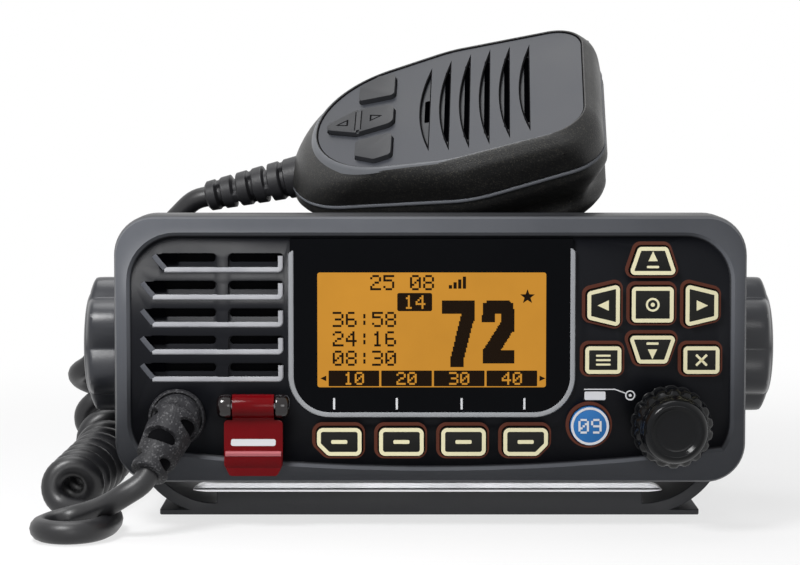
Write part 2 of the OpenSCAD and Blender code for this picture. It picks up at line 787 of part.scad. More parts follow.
module case_body() color([0.2, 0.21, 0.22]) difference() {
  union() {
    difference() {
      along_y(unit_back_y + gasket_t, case_back_y - fin_d)
        round_rect(case_w, case_h, case_r);
      along_y(unit_back_y - 1, case_hollow_end_y)
        round_rect(case_w - 2 * case_wall, case_h - 2 * case_wall, case_r - case_wall);
    }
    // Fins, cut back around the sockets
    difference() {
      intersection() {
        along_y(case_back_y - fin_d - 1, case_back_y) round_rect(case_w, case_h, case_r);
        for (i = [0:fin_count - 1])
          translate([(i / (fin_count - 1) - 0.5) * (case_w - 14) - fin_t / 2,
              case_back_y - fin_d - 1, case_bottom_z - 1])
            cube([fin_t, fin_d + 2, case_h + 2]);
      }
      rear_places() along_y(case_back_y - fin_d, case_back_y + 1) circle(rear_pad_r);
    }
    // Bosses for the clamp knobs, inside and outside of the side walls
    for (s = [-1, 1]) mirror([s < 0 ? 1 : 0, 0, 0])
      axis_rod(boss_end - insert_len - insert_wall, boss_end, pad_d);
    for (p = pillar_at) along_y(unit_back_y + gasket_t, case_hollow_end_y + 1)
      translate(p) circle(d = column_d);
    for (p = main_post_at) translate([p[0], p[1], case_bottom_z + 1])
      cylinder(h = main_board_z - case_bottom_z - 1, d = 7);
  }
  for (s = [-1, 1]) mirror([s < 0 ? 1 : 0, 0, 0]) {
    axis_rod(boss_end - insert_len, boss_end + 1, insert_d);
    axis_rod(boss_end - insert_len - 1, boss_end + 1, stud_d + 1);
  }
  for (p = pillar_at) {
    along_y(unit_back_y - 1, case_back_y + 1) translate(p) circle(d = screw_d + 0.4);
    along_y(screw_head_y, case_back_y + 1) translate(p) circle(d = column_bore_d);
  }
  for (p = main_post_at) translate([p[0], p[1], main_board_z - board_screw_len])
    cylinder(h = board_screw_len + 1, d = board_screw_d);
  along_y(case_hollow_end_y - 1, case_back_y) translate(antenna_at) circle(d = antenna_bore_d);
  along_y(case_hollow_end_y - 1, case_back_y) translate(gps_at) circle(d = gps_bore_d);
  along_y(case_hollow_end_y - 1, case_back_y) translate(grommet_at) circle(d = cable_bore_d);
}

// Threaded brass inserts that take the studs of the clamp knobs
module knob_inserts() color([0.8, 0.65, 0.3])
  for (s = [-1, 1]) mirror([s < 0 ? 1 : 0, 0, 0]) difference() {
    axis_rod(boss_end - insert_len, boss_end, insert_d);
    axis_rod(boss_end - insert_len - 1, boss_end + 1, stud_d + 2 * run_gap);
  }

module main_board() color([0.1, 0.35, 0.2]) difference() {
  union() {
    translate([-main_board_half, main_board_y[0], main_board_z])
      cube([2 * main_board_half, main_board_y[1] - main_board_y[0], board_t]);
    // Shield can and the power stage
    translate([-27, main_board_y[0] + 11, main_board_z + board_t - eps]) cube(shield_size);
    translate([22, main_board_y[1] - 29, main_board_z + board_t - eps]) cube(power_size);
  }
  for (p = main_post_at) translate([p[0], p[1], main_board_z - 1])
    cylinder(h = board_t + 2, d = board_screw_d + 0.4);
}

// A screw with its head on +Z, its shank pointing down from z = 0
module screw(shank_d, shank, head_d, head_h) {
  translate([0, 0, -shank]) cylinder(h = shank + eps, d = shank_d, $fn = 24);
  cylinder(h = head_h, d = head_d, $fn = 24);
}

module board_screws() color([0.75, 0.75, 0.75]) {
  for (p = main_post_at) translate([p[0], p[1], main_board_z + board_t])
    screw(board_screw_d, board_t + board_screw_len - 0.3, 3.8, 1.4);
  for (p = board_pillar_at) on_face(p, board_out - board_t) rotate([180, 0, 0])
    screw(board_screw_d, board_t + board_screw_len - 0.3, 3.8, 1.4);
}

module case_screws() color([0.75, 0.75, 0.75]) for (p = pillar_at)
  on_face(p, face_y - screw_head_y) rotate([180, 0, 0])
    screw(screw_d, screw_head_y - unit_back_y + pillar_hole_len - 0.5, 5, 2.4);

antenna_bore_d = 12;
gps_bore_d = 7;
cable_bore_d = 11;

// A flanged socket on the back of the case, its axis along Y
module rear_socket(at, bore, flange, reach) {
  translate([at[0], case_back_y - fin_d, face_z + at[1]]) rotate([-90, 0, 0]) {
    translate([0, 0, -back_t]) cylinder(h = back_t, d = bore);
    cylinder(h = 2, d = flange);
    difference() {
      translate([0, 0, 2 - eps]) cylinder(h = reach, d = bore + 3);
      translate([0, 0, 3]) cylinder(h = reach, d = bore - 1);
    }
    cylinder(h = reach, d = 3, $fn = 24);
  }
}

module antenna_socket() color([0.85, 0.85, 0.85])
  rear_socket(antenna_at, antenna_bore_d, 18, 14);
module gps_socket() color([0.85, 0.75, 0.4]) rear_socket(gps_at, gps_bore_d, 14, 10);

// The rubber bush that the supply cable would pass through, blanked off
module cable_grommet() color([0.05, 0.05, 0.05])
  translate([grommet_at[0], case_back_y - fin_d, face_z + grommet_at[1]])
    rotate([-90, 0, 0]) {
      translate([0, 0, -back_t]) cylinder(h = back_t, d = cable_bore_d);
      difference() {
        cylinder(h = 7, d1 = 17, d2 = 13);
        translate([0, 0, 4]) cylinder(h = 5, d = 7);
      }
    }

// ------------------------------------------------------------ microphone
// Drawn with its face up: X towards the speaker end, Z out of the face and
// the origin in the middle of the slots on the face.

mic_roll = 32.6;
mic_pitch = -12.4;
mic_yaw = -10;
mic_x = 13.2;
mic_y = 5;
mic_wall = 2.2;
mic_seam_t = 0.6;
plate_t = 2;
plate_sink = 0.4;
plate_ledge = 1.5;
rear_top = -mic_front_t - mic_seam_t;
rear_low = rear_top - mic_rear_t;
rear_band = 4.2;
belly_in = 4;
sole_at = [14, 0];
sole_r = 13;
heel_at = [-27, 0];
heel_r = 9;
heel_rise = 9.5;
plate_circles = [[-20.5, 0, 24.2], [-6, 0, 27], [18.7, 15.5, 10], [18.7, -15.5, 10]];
seam_circles = [[-34.5, 0, 21], [-2, 0, 29.8], [21.5, 17, 10], [21.5, -17, 10]];
relief_z = -mic_front_t - mic_seam_t / 2;
relief_neck_d = 9;

// The microphone rests on the case: the lowest point of its back sets its height
mic_up = [mic_dir([1, 0, 0])[2], mic_dir([0, 1, 0])[2], mic_dir([0, 0, 1])[2]];
function disc_low(c, grow, z) = c[0] * mic_up[0] + c[1] * mic_up[1] + z * mic_up[2]
  - (c[2] + grow) * norm([mic_up[0], mic_up[1]]);
rest_gap = 0.15;
mic_rise = rest_gap - min(concat(
  [for (c = seam_circles) disc_low(c, 0, rear_top - rear_band)],
  [for (c = plate_circles) disc_low(c, -belly_in, rear_top - mic_belly)],
  [disc_low([sole_at[0], sole_at[1], sole_r], 0, rear_low),
    disc_low([heel_at[0], heel_at[1], heel_r], 0, rear_low + heel_rise)]));

module mic_place() translate([mic_x, mic_y, case_top_z + mic_rise])
  rotate([mic_roll, mic_pitch, mic_yaw]) children();

// The egg-shaped outline of the face plate
module plate_outline(grow) wrapped(plate_circles, grow);

// The outline of the seam between the shells
module seam_outline(grow) wrapped(seam_circles, grow);

module slab(z, t) translate([0, 0, z]) linear_extrude(t) children();

module mic_front_form(inset) hull() {
  slab(-1.6 - inset, 0.8) plate_outline(1.6 - inset);
  slab(-0.8 - inset, 0.8) plate_outline(0.9 - inset);
  slab(-mic_front_t, 1.2) seam_outline(-inset);
}

module mic_rear_form(inset) hull() {
  slab(rear_top - rear_band, rear_band) seam_outline(-inset);
  slab(rear_top - mic_belly, 1) plate_outline(-belly_in - inset);
  translate([sole_at[0], sole_at[1], rear_low + inset])
    cylinder(h = 2, r = sole_r - inset / 2);
  translate([heel_at[0], heel_at[1], rear_low + heel_rise + inset])
    cylinder(h = 2, r = heel_r - inset / 2);
}

power_key_at = [-28.6, 15.2];
channel_key_at = [-28.6, -15.2];
mic_key_size = [10.6, 10.6];
rocker_x = -33;
rocker_rod_len = 14.4;
rocker_groove = 0.5;
rocker_rod_d = 0.9;

module mic_key_outline(grow) dots([[-3.4, -3.9], [4, -4.3], [4, 3.8], [1, 4.3], [-3.4, 1.2]],
  1.3 + grow);

module rocker_outline(grow) dots([[-6.6, 0], [0, -3.6], [7.6, -2.6], [7.6, 2.6], [0, 3.6]],
  2.2 + grow);

// One slot of the face: a crescent groove and a narrow slit within it
mic_slot_len = [42, 45.6, 47.8, 48.4, 46.6, 44];
crescent_w = 3.1;
slit_w = 1.2;
module mic_slot(i) {
  half = mic_slot_len[i] / 2;
  x = (i - 2.5) * mic_slot_pitch + 0.6;
  slit = i == 0 ? half - 16 : half - 6;
  slab(-0.8, 2) translate([x, 0])
    polygon([for (t = [-1:0.125:1]) [crescent_w * (t * t - 1), t * half]]);
  slab(-plate_t - 1, 4) translate([x - 0.4 - slit_w, -slit]) square([slit_w, 2 * slit]);
}

module mic_face_plate() color([0.33, 0.34, 0.36]) mic_place() difference() {
  slab(-plate_sink - plate_t, plate_t) plate_outline(0);
  for (i = [0:mic_slot_count - 1]) translate([0, 0, -plate_sink]) mic_slot(i);
  slab(-4, 6) translate(power_key_at) mic_key_outline(key_gap);
  slab(-4, 6) translate(channel_key_at) mirror([0, 1]) mic_key_outline(key_gap);
  slab(-4, 6) translate([rocker_x, 0]) rocker_outline(key_gap);
}

plate_back = -plate_sink - plate_t;
mic_flange_top = plate_back - 0.3;
mic_flange_t = 0.7;

module mic_key(at, rise) {
  slab(mic_flange_top - mic_flange_t, mic_flange_t) intersection() {
    translate(at) offset(delta = 0.8) children();
    plate_outline(-plate_ledge - key_gap);
  }
  slab(mic_flange_top - eps, rise - plate_sink - mic_flange_top + eps)
    translate(at) children();
}

module mic_key_power() color(key_grey) mic_place()
  mic_key(power_key_at, mic_key_rise) mic_key_outline(0);
module mic_key_channel() color(key_grey) mic_place()
  mic_key(channel_key_at, mic_key_rise) mirror([0, 1]) mic_key_outline(0);
// The rocker turns on a round rod across its waist, held below the plate
module mic_rocker() color(key_grey) mic_place() translate([rocker_x, 0, 0]) difference() {
  union() {
    translate([0, rocker_rod_len / 2, mic_flange_top - mic_flange_t / 2]) rotate([90, 0, 0])
      cylinder(h = rocker_rod_len, d = rocker_rod_d);
    slab(mic_flange_top - mic_flange_t, mic_key_rise - plate_sink - mic_flange_top + mic_flange_t)
      rocker_outline(0);
  }
  slab(mic_key_rise - plate_sink - rocker_groove, 2) square([0.8, 20], center = true);
}

mic_board_t = 1.6;
mic_board_top = mic_flange_top - mic_flange_t - 1.4;
mic_board_x0 = -42;
mic_board_x1 = -14;
mic_board_half = 16;
mic_post_at = [[-18, -13], [-18, 13], [-40, -6], [-40, 6]];
ptt_x0 = 3;
ptt_len = 27;
ptt_y0 = 14;
ptt_z = -8;
ptt_h = 6.4;
ptt_proud = 1.4;
ptt_wall = 4.4;

// The bar on the long side, its shape cut from the shell's own outline, with a
// margin all round and room to move inwards
module ptt_form(margin, room) intersection() {
  slab(ptt_z - ptt_h / 2 - margin, ptt_h + 2 * margin) seam_outline(ptt_proud + margin);
  translate([ptt_x0 - margin, ptt_y0 - margin - room, ptt_z - ptt_h])
    cube([ptt_len + 2 * margin, 2 * ptt_y0, 2 * ptt_h]);
}

module mic_front_shell() color([0.15, 0.15, 0.16]) mic_place() difference() {
  mic_front_form(0);
  difference() {
    mic_front_form(mic_wall);
    // The ledge that the face plate lies on
    slab(plate_back - 1.5, 20) difference() {
      plate_outline(6);
      plate_outline(-plate_ledge);
    }
  }
  slab(plate_back, 6) plate_outline(0.12);
  slab(plate_back - 3, 6) plate_outline(-plate_ledge);
  slab(-mic_front_t - 1, 4) seam_outline(-mic_wall);
  ptt_form(key_gap, ptt_travel);
  relief_rod(relief_neck_d);
}

module mic_talk_bar() color([0.1, 0.1, 0.1]) mic_place() difference() {
  ptt_form(0, 0);
  slab(ptt_z - ptt_h, 2 * ptt_h) seam_outline(-ptt_wall);
}

module relief_rod(d) translate([-70, 0, relief_z]) rotate([0, 90, 0])
  cylinder(h = 24, d = d);

mic_screw_d = 2.2;
hanger_x = 20;
hanger_d = 5;

module mic_rear_shell() color([0.1, 0.1, 0.1]) mic_place() difference() {
  union() {
    difference() {
      mic_rear_form(0);
      mic_rear_form(mic_wall);
      slab(rear_top - rear_band, rear_band + 1) seam_outline(-mic_wall);
    }
    // Posts for the board, standing on the rear wall
    intersection() {
      mic_rear_form(0.5);
      for (p = mic_post_at) translate([p[0], p[1], rear_low])
        cylinder(h = rear_top - rear_low, d = 5);
    }
    for (p = mic_post_at) translate([p[0], p[1], rear_top - 4])
      cylinder(h = mic_board_top - mic_board_t - rear_top + 4, d = 5);
  }
  for (p = mic_post_at) translate([p[0], p[1], mic_board_top - mic_board_t - 6])
    cylinder(h = 20, d = mic_screw_d);
  translate([hanger_x, 0, rear_low - 1]) cylinder(h = mic_wall + 3, d = hanger_d);
  relief_rod(relief_neck_d);
}

module mic_seam_gasket() color([0.3, 0.31, 0.33]) mic_place() difference() {
  slab(-mic_front_t - mic_seam_t, mic_seam_t) difference() {
    seam_outline(-0.35);
    seam_outline(-1.9);
  }
  relief_rod(relief_neck_d);
}

module mic_board() color([0.1, 0.35, 0.2]) mic_place() difference() {
  union() {
    slab(mic_board_top - mic_board_t, mic_board_t) intersection() {
      translate([mic_board_x0, -mic_board_half])
        square([mic_board_x1 - mic_board_x0, 2 * mic_board_half]);
      plate_outline(-3);
    }
    // Dome switches below the keys and the capsule of the microphone
    for (p = [power_key_at, channel_key_at, [rocker_x - 5, 0], [rocker_x + 5, 0]])
      translate([p[0], p[1], mic_board_top - eps]) cylinder(h = 0.5 + eps, d = 5);
  }
  for (p = mic_post_at) translate([p[0], p[1], mic_board_top - 3])
    cylinder(h = 5, d = mic_screw_d);
}

// The small speaker behind the slots, held to the back of the face plate
module mic_speaker() color([0.3, 0.3, 0.32]) mic_place()
  translate([8, 0, plate_back]) rotate([180, 0, 0]) rotate_extrude()
    polygon([[0, 2.6], [12, 0.6], [15, 0], [16.5, 0], [16.5, 2], [15, 2.4], [9, 6], [9, 9], [0, 9]]);

module mic_hanger_button() color([0.55, 0.55, 0.56]) mic_place() {
  translate([hanger_x, 0, rear_low - 1.6]) cylinder(h = 1.6 + mic_wall, d = hanger_d);
  translate([hanger_x, 0, rear_low + mic_wall]) cylinder(h = 1.2, d = 8);
  translate([hanger_x, 0, rear_low - 1.6]) rotate([180, 0, 0])
    cylinder(h = 1.6, d1 = 11, d2 = 9.4);
}

relief_x0 = -53;
relief_len = 27;
relief_r0 = 5.6;
relief_r1 = 4.1;

module mic_strain_relief() color([0.1, 0.1, 0.1]) mic_place() {
  translate([relief_x0 + 5, 0, relief_z]) rotate([0, -90, 0])
    cylinder(h = 5, d = relief_neck_d);
  translate([relief_x0 + 6, 0, relief_z]) rotate([0, -90, 0])
    cylinder(h = 1.2, d = relief_neck_d + 2.6);
  translate([relief_x0, 0, relief_z]) rotate([0, -90, 0])
    cylinder(h = 6, d = relief_neck_d);
  translate([relief_x0 - 4, 0, relief_z]) rotate([0, -90, 0])
    ribbed_sleeve(relief_len - 4, relief_r0, relief_r1, 6);
}

// ------------------------------------------------------------------ cord

function unit(v) = v / norm(v);
function rot_x(a, v) = [v[0], v[1] * cos(a) - v[2] * sin(a), v[1] * sin(a) + v[2] * cos(a)];
function rot_y(a, v) = [v[0] * cos(a) + v[2] * sin(a), v[1], v[2] * cos(a) - v[0] * sin(a)];
function rot_z(a, v) = [v[0] * cos(a) - v[1] * sin(a), v[0] * sin(a) + v[1] * cos(a), v[2]];
function mic_dir(v) = rot_z(mic_yaw, rot_y(mic_pitch, rot_x(mic_roll, v)));

// Direction of the boot in the part's frame, and the middle of its end
boot_local = rot_y(boot_turn, rot_x(boot_drop, [0, 0, 1]));
boot_dir = [boot_local[0], -boot_local[2], boot_local[1]];
boot_end = [gland_at[0], face_y - floor_out - collar_t, face_z + gland_at[1]]
  + boot_len * boot_dir;
relief_dir = mic_dir([-1, 0, 0]);
relief_end = [mic_x, mic_y, case_top_z + mic_rise]
  + mic_dir([relief_x0 - relief_len, 0, relief_z]);

// A smooth curve through the points, k steps from each to the next
function curve_at(a, b, c, d, t) = 0.5 * (2 * b + (c - a) * t
  + (2 * a - 5 * b + 4 * c - d) * t * t + (3 * b - a - 3 * c + d) * t * t * t);
function smooth(p, k) = let (n = len(p), q = concat([2 * p[0] - p[1]], p,
    [2 * p[n - 1] - p[n - 2]]))
  concat([for (i = [0:n - 2], j = [0:k - 1])
    curve_at(q[i], q[i + 1], q[i + 2], q[i + 3], j / k)], [p[n - 1]]);

function tangent(q, i) = let (n = len(q))
  unit(q[min(i + 1, n - 1)] - q[max(i - 1, 0)]);

// Sideways directions carried along the curve without twist
function carried(q) = [for (i = 0, t = tangent(q, 0), s = unit(cross(t, [0.3, 1, 0.2]));
    i < len(q); i = i + 1, t = tangent(q, min(i, len(q) - 1)), s = unit(s - (s * t) * t)) s];

// A closed tube of the given radii round a curve
module tube(q, radii, sides) {
  n = len(q);
  side = carried(q);
  points = [for (i = [0:n - 1]) let (t = tangent(q, i), u = side[i], w = cross(t, u))
    for (j = [0:sides - 1]) let (a = 360 * j / sides)
      q[i] + radii[i] * (cos(a) * u + sin(a) * w)];
  walls = [for (i = [0:n - 2], j = [0:sides - 1]) let (k = (j + 1) % sides)
    [i * sides + j, (i + 1) * sides + j, (i + 1) * sides + k, i * sides + k]];
  first = [for (j = [0:sides - 1]) j];
  last = [for (j = [0:sides - 1]) n * sides - 1 - j];
  polyhedron(points, concat(walls, [first, last]));
}

module cord(route, steps) {
  q = smooth(route, steps);
  tube(q, [for (p = q) cord_d / 2], 10);
}

cord_gap = 0.5;

// From the boot down to the surface, round a bend and back to the coil
tail_route = [[-73, -69.5, 11.5], [-77.5, -68.5, 8.5], [-82.5, -65, 6],
  [-88, -63.5, 4.3], [-92.6, -66, 3.3], [-94.4, -71, 3], [-92.6, -76.5, 3],
  [-87.6, -79.3, 3], [-82.4, -77.2, 3], [-79.4, -71.6, 3], [-78.4, -64, 3],
  [-78.6, -56, 3], [-80.2, -49.6, 3], [-83.6, -45.2, 3.2]];

// The middle line of the curly part, along the surface and up behind the knob
coil_route = [[-91, -46, 8.4], [-90, -32, 8.8], [-89, -16, 9.2], [-88, 0, 9.6],
  [-88, 14, 10.4], [-89, 27, 14], [-91, 34.6, 22], [-92, 36.6, 31], [-90.6, 36, 40]];

// From the coil over the case's edge to the microphone
mic_end_route = [[-88.6, 35.2, 47], [-85, 34, 54], [-80.4, 32, 61.4], [-75, 30, 68],
  [-69.6, 28.2, 73.4]];

module cord_tail() color([0.11, 0.11, 0.12])
  cord(concat([boot_end, boot_end + 3 * boot_dir], tail_route), 3);

module cord_coil() color([0.11, 0.11, 0.12]) {
  q = smooth(coil_route, 3);
  n = len(q) - 1;
  tube(q, [for (i = [0:n]) coil_r_front + (coil_r_rear - coil_r_front) * i / n], 12);
}

module cord_mic_end() color([0.11, 0.11, 0.12])
  cord(concat([coil_route[8], coil_route[8] + [0.8, -0.25, 3]], mic_end_route,
    [relief_end + 4 * relief_dir, relief_end + cord_gap * relief_dir]), 3);

mounting_bracket();
arm_pads();
left_knob();
right_knob();
left_knob_stud();
right_knob_stud();
left_knob_washer();
right_knob_washer();
front_panel();
front_gasket();
speaker_cloth();
speaker();
display_lens();
lcd_module();
softkey_1();
softkey_2();
softkey_3();
softkey_4();
key_up();
key_down();
key_left();
key_right();
key_enter();
key_menu();
key_clear();
key_round();
keypad_mat();
front_board();
dial_knob();
dial_shaft();
dial_plunger();
dial_encoder();
distress_cover();
distress_hinge_lugs();
distress_hinge_pin();
distress_key();
cord_gland();
case_body();
knob_inserts();
main_board();
board_screws();
case_screws();
antenna_socket();
gps_socket();
cable_grommet();
mic_front_shell();
mic_rear_shell();
mic_seam_gasket();
mic_face_plate();
mic_key_power();
mic_key_channel();
mic_rocker();
mic_talk_bar();
mic_board();
mic_speaker();
mic_hanger_button();
mic_strain_relief();
cord_tail();
cord_coil();
cord_mic_end();
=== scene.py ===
import logging
from dataclasses import dataclass, field
from enum import Enum
from typing import Callable, ClassVar, Sequence

import bpy
import numpy as np
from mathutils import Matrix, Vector


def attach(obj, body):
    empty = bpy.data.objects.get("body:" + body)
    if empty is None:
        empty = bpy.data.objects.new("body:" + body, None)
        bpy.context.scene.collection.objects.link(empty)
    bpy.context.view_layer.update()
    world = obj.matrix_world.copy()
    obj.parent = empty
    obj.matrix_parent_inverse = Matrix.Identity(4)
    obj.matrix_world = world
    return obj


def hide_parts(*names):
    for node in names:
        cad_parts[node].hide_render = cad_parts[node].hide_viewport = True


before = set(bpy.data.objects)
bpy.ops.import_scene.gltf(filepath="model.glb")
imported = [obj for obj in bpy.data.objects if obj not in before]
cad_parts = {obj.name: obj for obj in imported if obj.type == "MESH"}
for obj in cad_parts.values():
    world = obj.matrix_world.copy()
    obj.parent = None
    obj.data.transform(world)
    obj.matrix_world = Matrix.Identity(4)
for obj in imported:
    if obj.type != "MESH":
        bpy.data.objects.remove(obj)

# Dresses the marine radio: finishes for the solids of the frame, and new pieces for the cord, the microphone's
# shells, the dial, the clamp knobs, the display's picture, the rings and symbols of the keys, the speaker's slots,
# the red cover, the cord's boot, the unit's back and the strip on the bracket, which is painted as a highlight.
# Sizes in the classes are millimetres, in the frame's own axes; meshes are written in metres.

LOG = logging.getLogger("marine_radio")
MM = 0.001
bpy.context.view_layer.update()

Pair = tuple[float, float]
Triple = tuple[float, float, float]
Color = tuple[int, int, int]
Part = tuple[np.ndarray, list]
Outline = Callable[[float], np.ndarray]


# ---------------------------------------------------------------- places and outlines

@dataclass(frozen=True)
class Place:
    """A flat working plane in the frame: its origin and its three axes, in millimetres."""

    origin: Triple
    across: Triple
    up: Triple
    out: Triple

    def world(self, points: np.ndarray) -> np.ndarray:
        """Returns points given as (across, up, out), in the frame's metres."""
        axes = np.array([self.across, self.up, self.out])
        return (np.array(self.origin) + np.asarray(points, float) @ axes) * MM


def turn(axis: int, degrees: float) -> np.ndarray:
    """Works out a turn about an axis of the frame.

    Args:
        axis: 0, 1 or 2.
        degrees: the angle.

    Returns:
        The 3 by 3 matrix, for points as columns.
    """
    c, s = np.cos(np.radians(degrees)), np.sin(np.radians(degrees))
    i, j = [k for k in range(3) if k != axis]
    sign = -1.0 if axis == 1 else 1.0
    m = np.eye(3)
    m[i, i] = m[j, j] = c
    m[i, j], m[j, i] = -sign * s, sign * s
    return m


AXIS_Z = 41.0  # the clamp knobs' axis above the ground
FACE_Y = -55.0  # the front unit's face
FACE_Z = 44.5  # and the height of its middle
CASE_TOP = 73.4  # the case's top, which the microphone rests on
WORLD = Place((0, 0, 0), (1, 0, 0), (0, 1, 0), (0, 0, 1))
FACE = Place((0, FACE_Y, FACE_Z), (1, 0, 0), (0, 0, 1), (0, -1, 0))
MIC_TURN = turn(2, -10) @ turn(1, -12.4) @ turn(0, 32.6)
MIC = Place((13.2, 5.0, CASE_TOP + 33.33), *(tuple(MIC_TURN[:, k]) for k in range(3)))

FLOOR_OUT = -1.6  # out from the face: the recess's floor, then the lens and the keys' tops
LENS_OUT = -0.8
KEY_TOP = -0.1
FLAT = 0.1  # how high a flat symbol is drawn, before it is placed


def wrapped(circles: Sequence[Triple], grow: float = 0.0, steps: int = 96) -> np.ndarray:
    """Works out the outline that wraps tightly round circles.

    In each of the directions the point of the circle (x, y, r) that reaches furthest is taken.

    Args:
        circles: centres and radii.
        grow: margin that is added to each radius.
        steps: number of directions.

    Returns:
        An array of steps by 2.
    """
    a = 2 * np.pi * (np.arange(steps) + 0.5) / steps
    return reached(circles, np.stack([np.cos(a), np.sin(a)], 1), grow)


def reached(circles: Sequence[Triple], u: np.ndarray, grow: float | np.ndarray) -> np.ndarray:
    """Finds the points of circles that reach furthest in some directions.

    The circle with the greatest u . centre + r is taken, and its point is centre + (r + grow) * u.

    Args:
        circles: centres and radii.
        u: unit vectors, an array of n by 2.
        grow: margin that is added to the radii: one number, or an array of n by m.

    Returns:
        The points, n by 2, or n by m by 2 for m margins in each direction.
    """
    c = np.array(circles, float)
    best = c[np.argmax(u @ c[:, :2].T + c[:, 2], axis=1)]
    if np.ndim(grow) == 0:
        return best[:, :2] + (best[:, 2:] + grow) * u
    return best[:, None, :2] + (best[:, None, 2:] + grow[..., None]) * u[:, None]


def soft_corners(points: Sequence[Pair], r: float, grow: float = 0.0, steps: int = 64) -> np.ndarray:
    """Returns a convex outline with round corners of radius r about the points."""
    return wrapped([(x, y, r) for x, y in points], grow, steps)


def box_outline(w: float, h: float, r: float, at: Pair = (0, 0), steps: int = 48) -> np.ndarray:
    """Returns a rectangle with round corners, centred on at."""
    x, y = w / 2 - r, h / 2 - r
    return soft_corners([(-x, -y), (x, -y), (x, y), (-x, y)], r, 0, steps) + np.array(at)


def smooth_curve(points: Sequence[Sequence[float]], steps: int) -> np.ndarray:
    """Works out a Catmull-Rom curve: a cubic from each point to the next whose slopes are half the neighbours' gap.

    Args:
        points: the points that it goes through, with any number of coordinates.
        steps: steps from each point to the next.

    Returns:
        The points of the curve, its last one the last point.
    """
    p = np.array(points, float)
    q = np.vstack([2 * p[0] - p[1], p, 2 * p[-1] - p[-2]])
    t = (np.arange(steps) / steps)[None, :, None]
    a, b, c, d = (q[k:len(q) - 3 + k, None, :] for k in range(4))
    curve = 0.5 * (2 * b + (c - a) * t + (2 * a - 5 * b + 4 * c - d) * t**2 + (3 * b - a - 3 * c + d) * t**3)
    return np.vstack([curve.reshape(-1, p.shape[1]), p[-1]])


def unit(vectors: np.ndarray) -> np.ndarray:
    """Returns the rows at length one."""
    return vectors / np.linalg.norm(vectors, axis=1)[:, None]


def run_lengths(line: np.ndarray) -> np.ndarray:
    """Returns the distance along a line at each of its points."""
    return np.r_[0, np.cumsum(np.linalg.norm(np.diff(line, axis=0), axis=1))]


def points_at(distance: np.ndarray, lengths: np.ndarray, line: np.ndarray) -> np.ndarray:
    """Returns the points of a line at some distances along it."""
    return np.stack([np.interp(distance, lengths, line[:, k]) for k in range(3)], 1)


# ---------------------------------------------------------------- meshes

def grid_quads(rows: int, cols: int) -> np.ndarray:
    """Lists the quads of a grid whose columns close on themselves.

    Args:
        rows: rings.
        cols: points of each ring.

    Returns:
        An array of quads by 4.
    """
    i, j = np.meshgrid(np.arange(rows - 1), np.arange(cols), indexing="ij")
    k = (j + 1) % cols
    return np.stack([i * cols + j, i * cols + k, (i + 1) * cols + k, (i + 1) * cols + j], -1).reshape(-1, 4)


def volume_sign(points: np.ndarray, faces: list[Sequence[int]]) -> float:
    """Tells whether faces point outwards.

    Each face is cut into a fan of triangles about its first corner, and the volumes of the tetrahedra that they
    make with the middle of the points are added up.

    Args:
        points: the mesh's points.
        faces: its faces.

    Returns:
        1 for outwards, -1 for inwards.
    """
    p = points - points.mean(0)
    sizes = np.array([len(f) for f in faces])
    corners = np.concatenate([np.asarray(f) for f in faces])
    first = np.repeat(np.cumsum(sizes) - sizes, sizes - 2)
    step = np.arange(len(first)) - np.repeat(np.cumsum(sizes - 2) - (sizes - 2), sizes - 2) + 1
    a, b, c = (p[corners[first + k]] for k in (0, step, step + 1))
    return float(np.sign(np.einsum("ij,ij->", a, np.cross(b, c))))


def build(name: str, part: Part, look: "Look", body: str, place: Place = FACE, smooth: bool = True,
          angle: float = 32.0) -> bpy.types.Object:
    """Makes a mesh piece that rides on a body.

    Args:
        name: the piece's name.
        part: its points in millimetres, in the place's axes, and its faces; they are turned outwards here.
        look: its finish.
        body: the body that carries it.
        place: the plane that its points are given in.
        smooth: whether faces that meet below the angle are shaded as one.
        angle: that angle in degrees.

    Returns:
        The new object.
    """
    points, faces = place.world(part[0]), part[1]
    if volume_sign(points, faces) < 0:
        faces = [list(f)[::-1] for f in faces]
    mesh = bpy.data.meshes.new(name)
    mesh.from_pydata(points.tolist(), [], [list(map(int, f)) for f in faces])
    if smooth:
        mesh.polygons.foreach_set("use_smooth", [True] * len(mesh.polygons))
        mesh.set_sharp_from_angle(angle=np.radians(angle))
    mesh.update()
    obj = bpy.data.objects.new(name, mesh)
    bpy.context.scene.collection.objects.link(obj)
    mesh.materials.append(look.value.material())
    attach(obj, body)
    LOG.info("%s: %d faces on %s", name, len(faces), body)
    return obj


def raised(outline: np.ndarray, height: float) -> np.ndarray:
    """Returns a flat outline as points at a height."""
    return np.column_stack([outline, np.full(len(outline), height)])


def loft(rings: np.ndarray) -> Part:
    """Joins rings one after the other, with flat caps at both ends.

    Args:
        rings: an array of rings by points by 3.

    Returns:
        The closed part.
    """
    rows, cols, _ = rings.shape
    faces = grid_quads(rows, cols).tolist()
    faces.append(list(range(cols))[::-1])
    faces.append(list(range((rows - 1) * cols, rows * cols)))
    return rings.reshape(-1, 3), faces


def slab(outline: np.ndarray, low: float, high: float) -> Part:
    """Returns a plate with the outline, between two heights."""
    return loft(np.array([raised(outline, low), raised(outline, high)]))


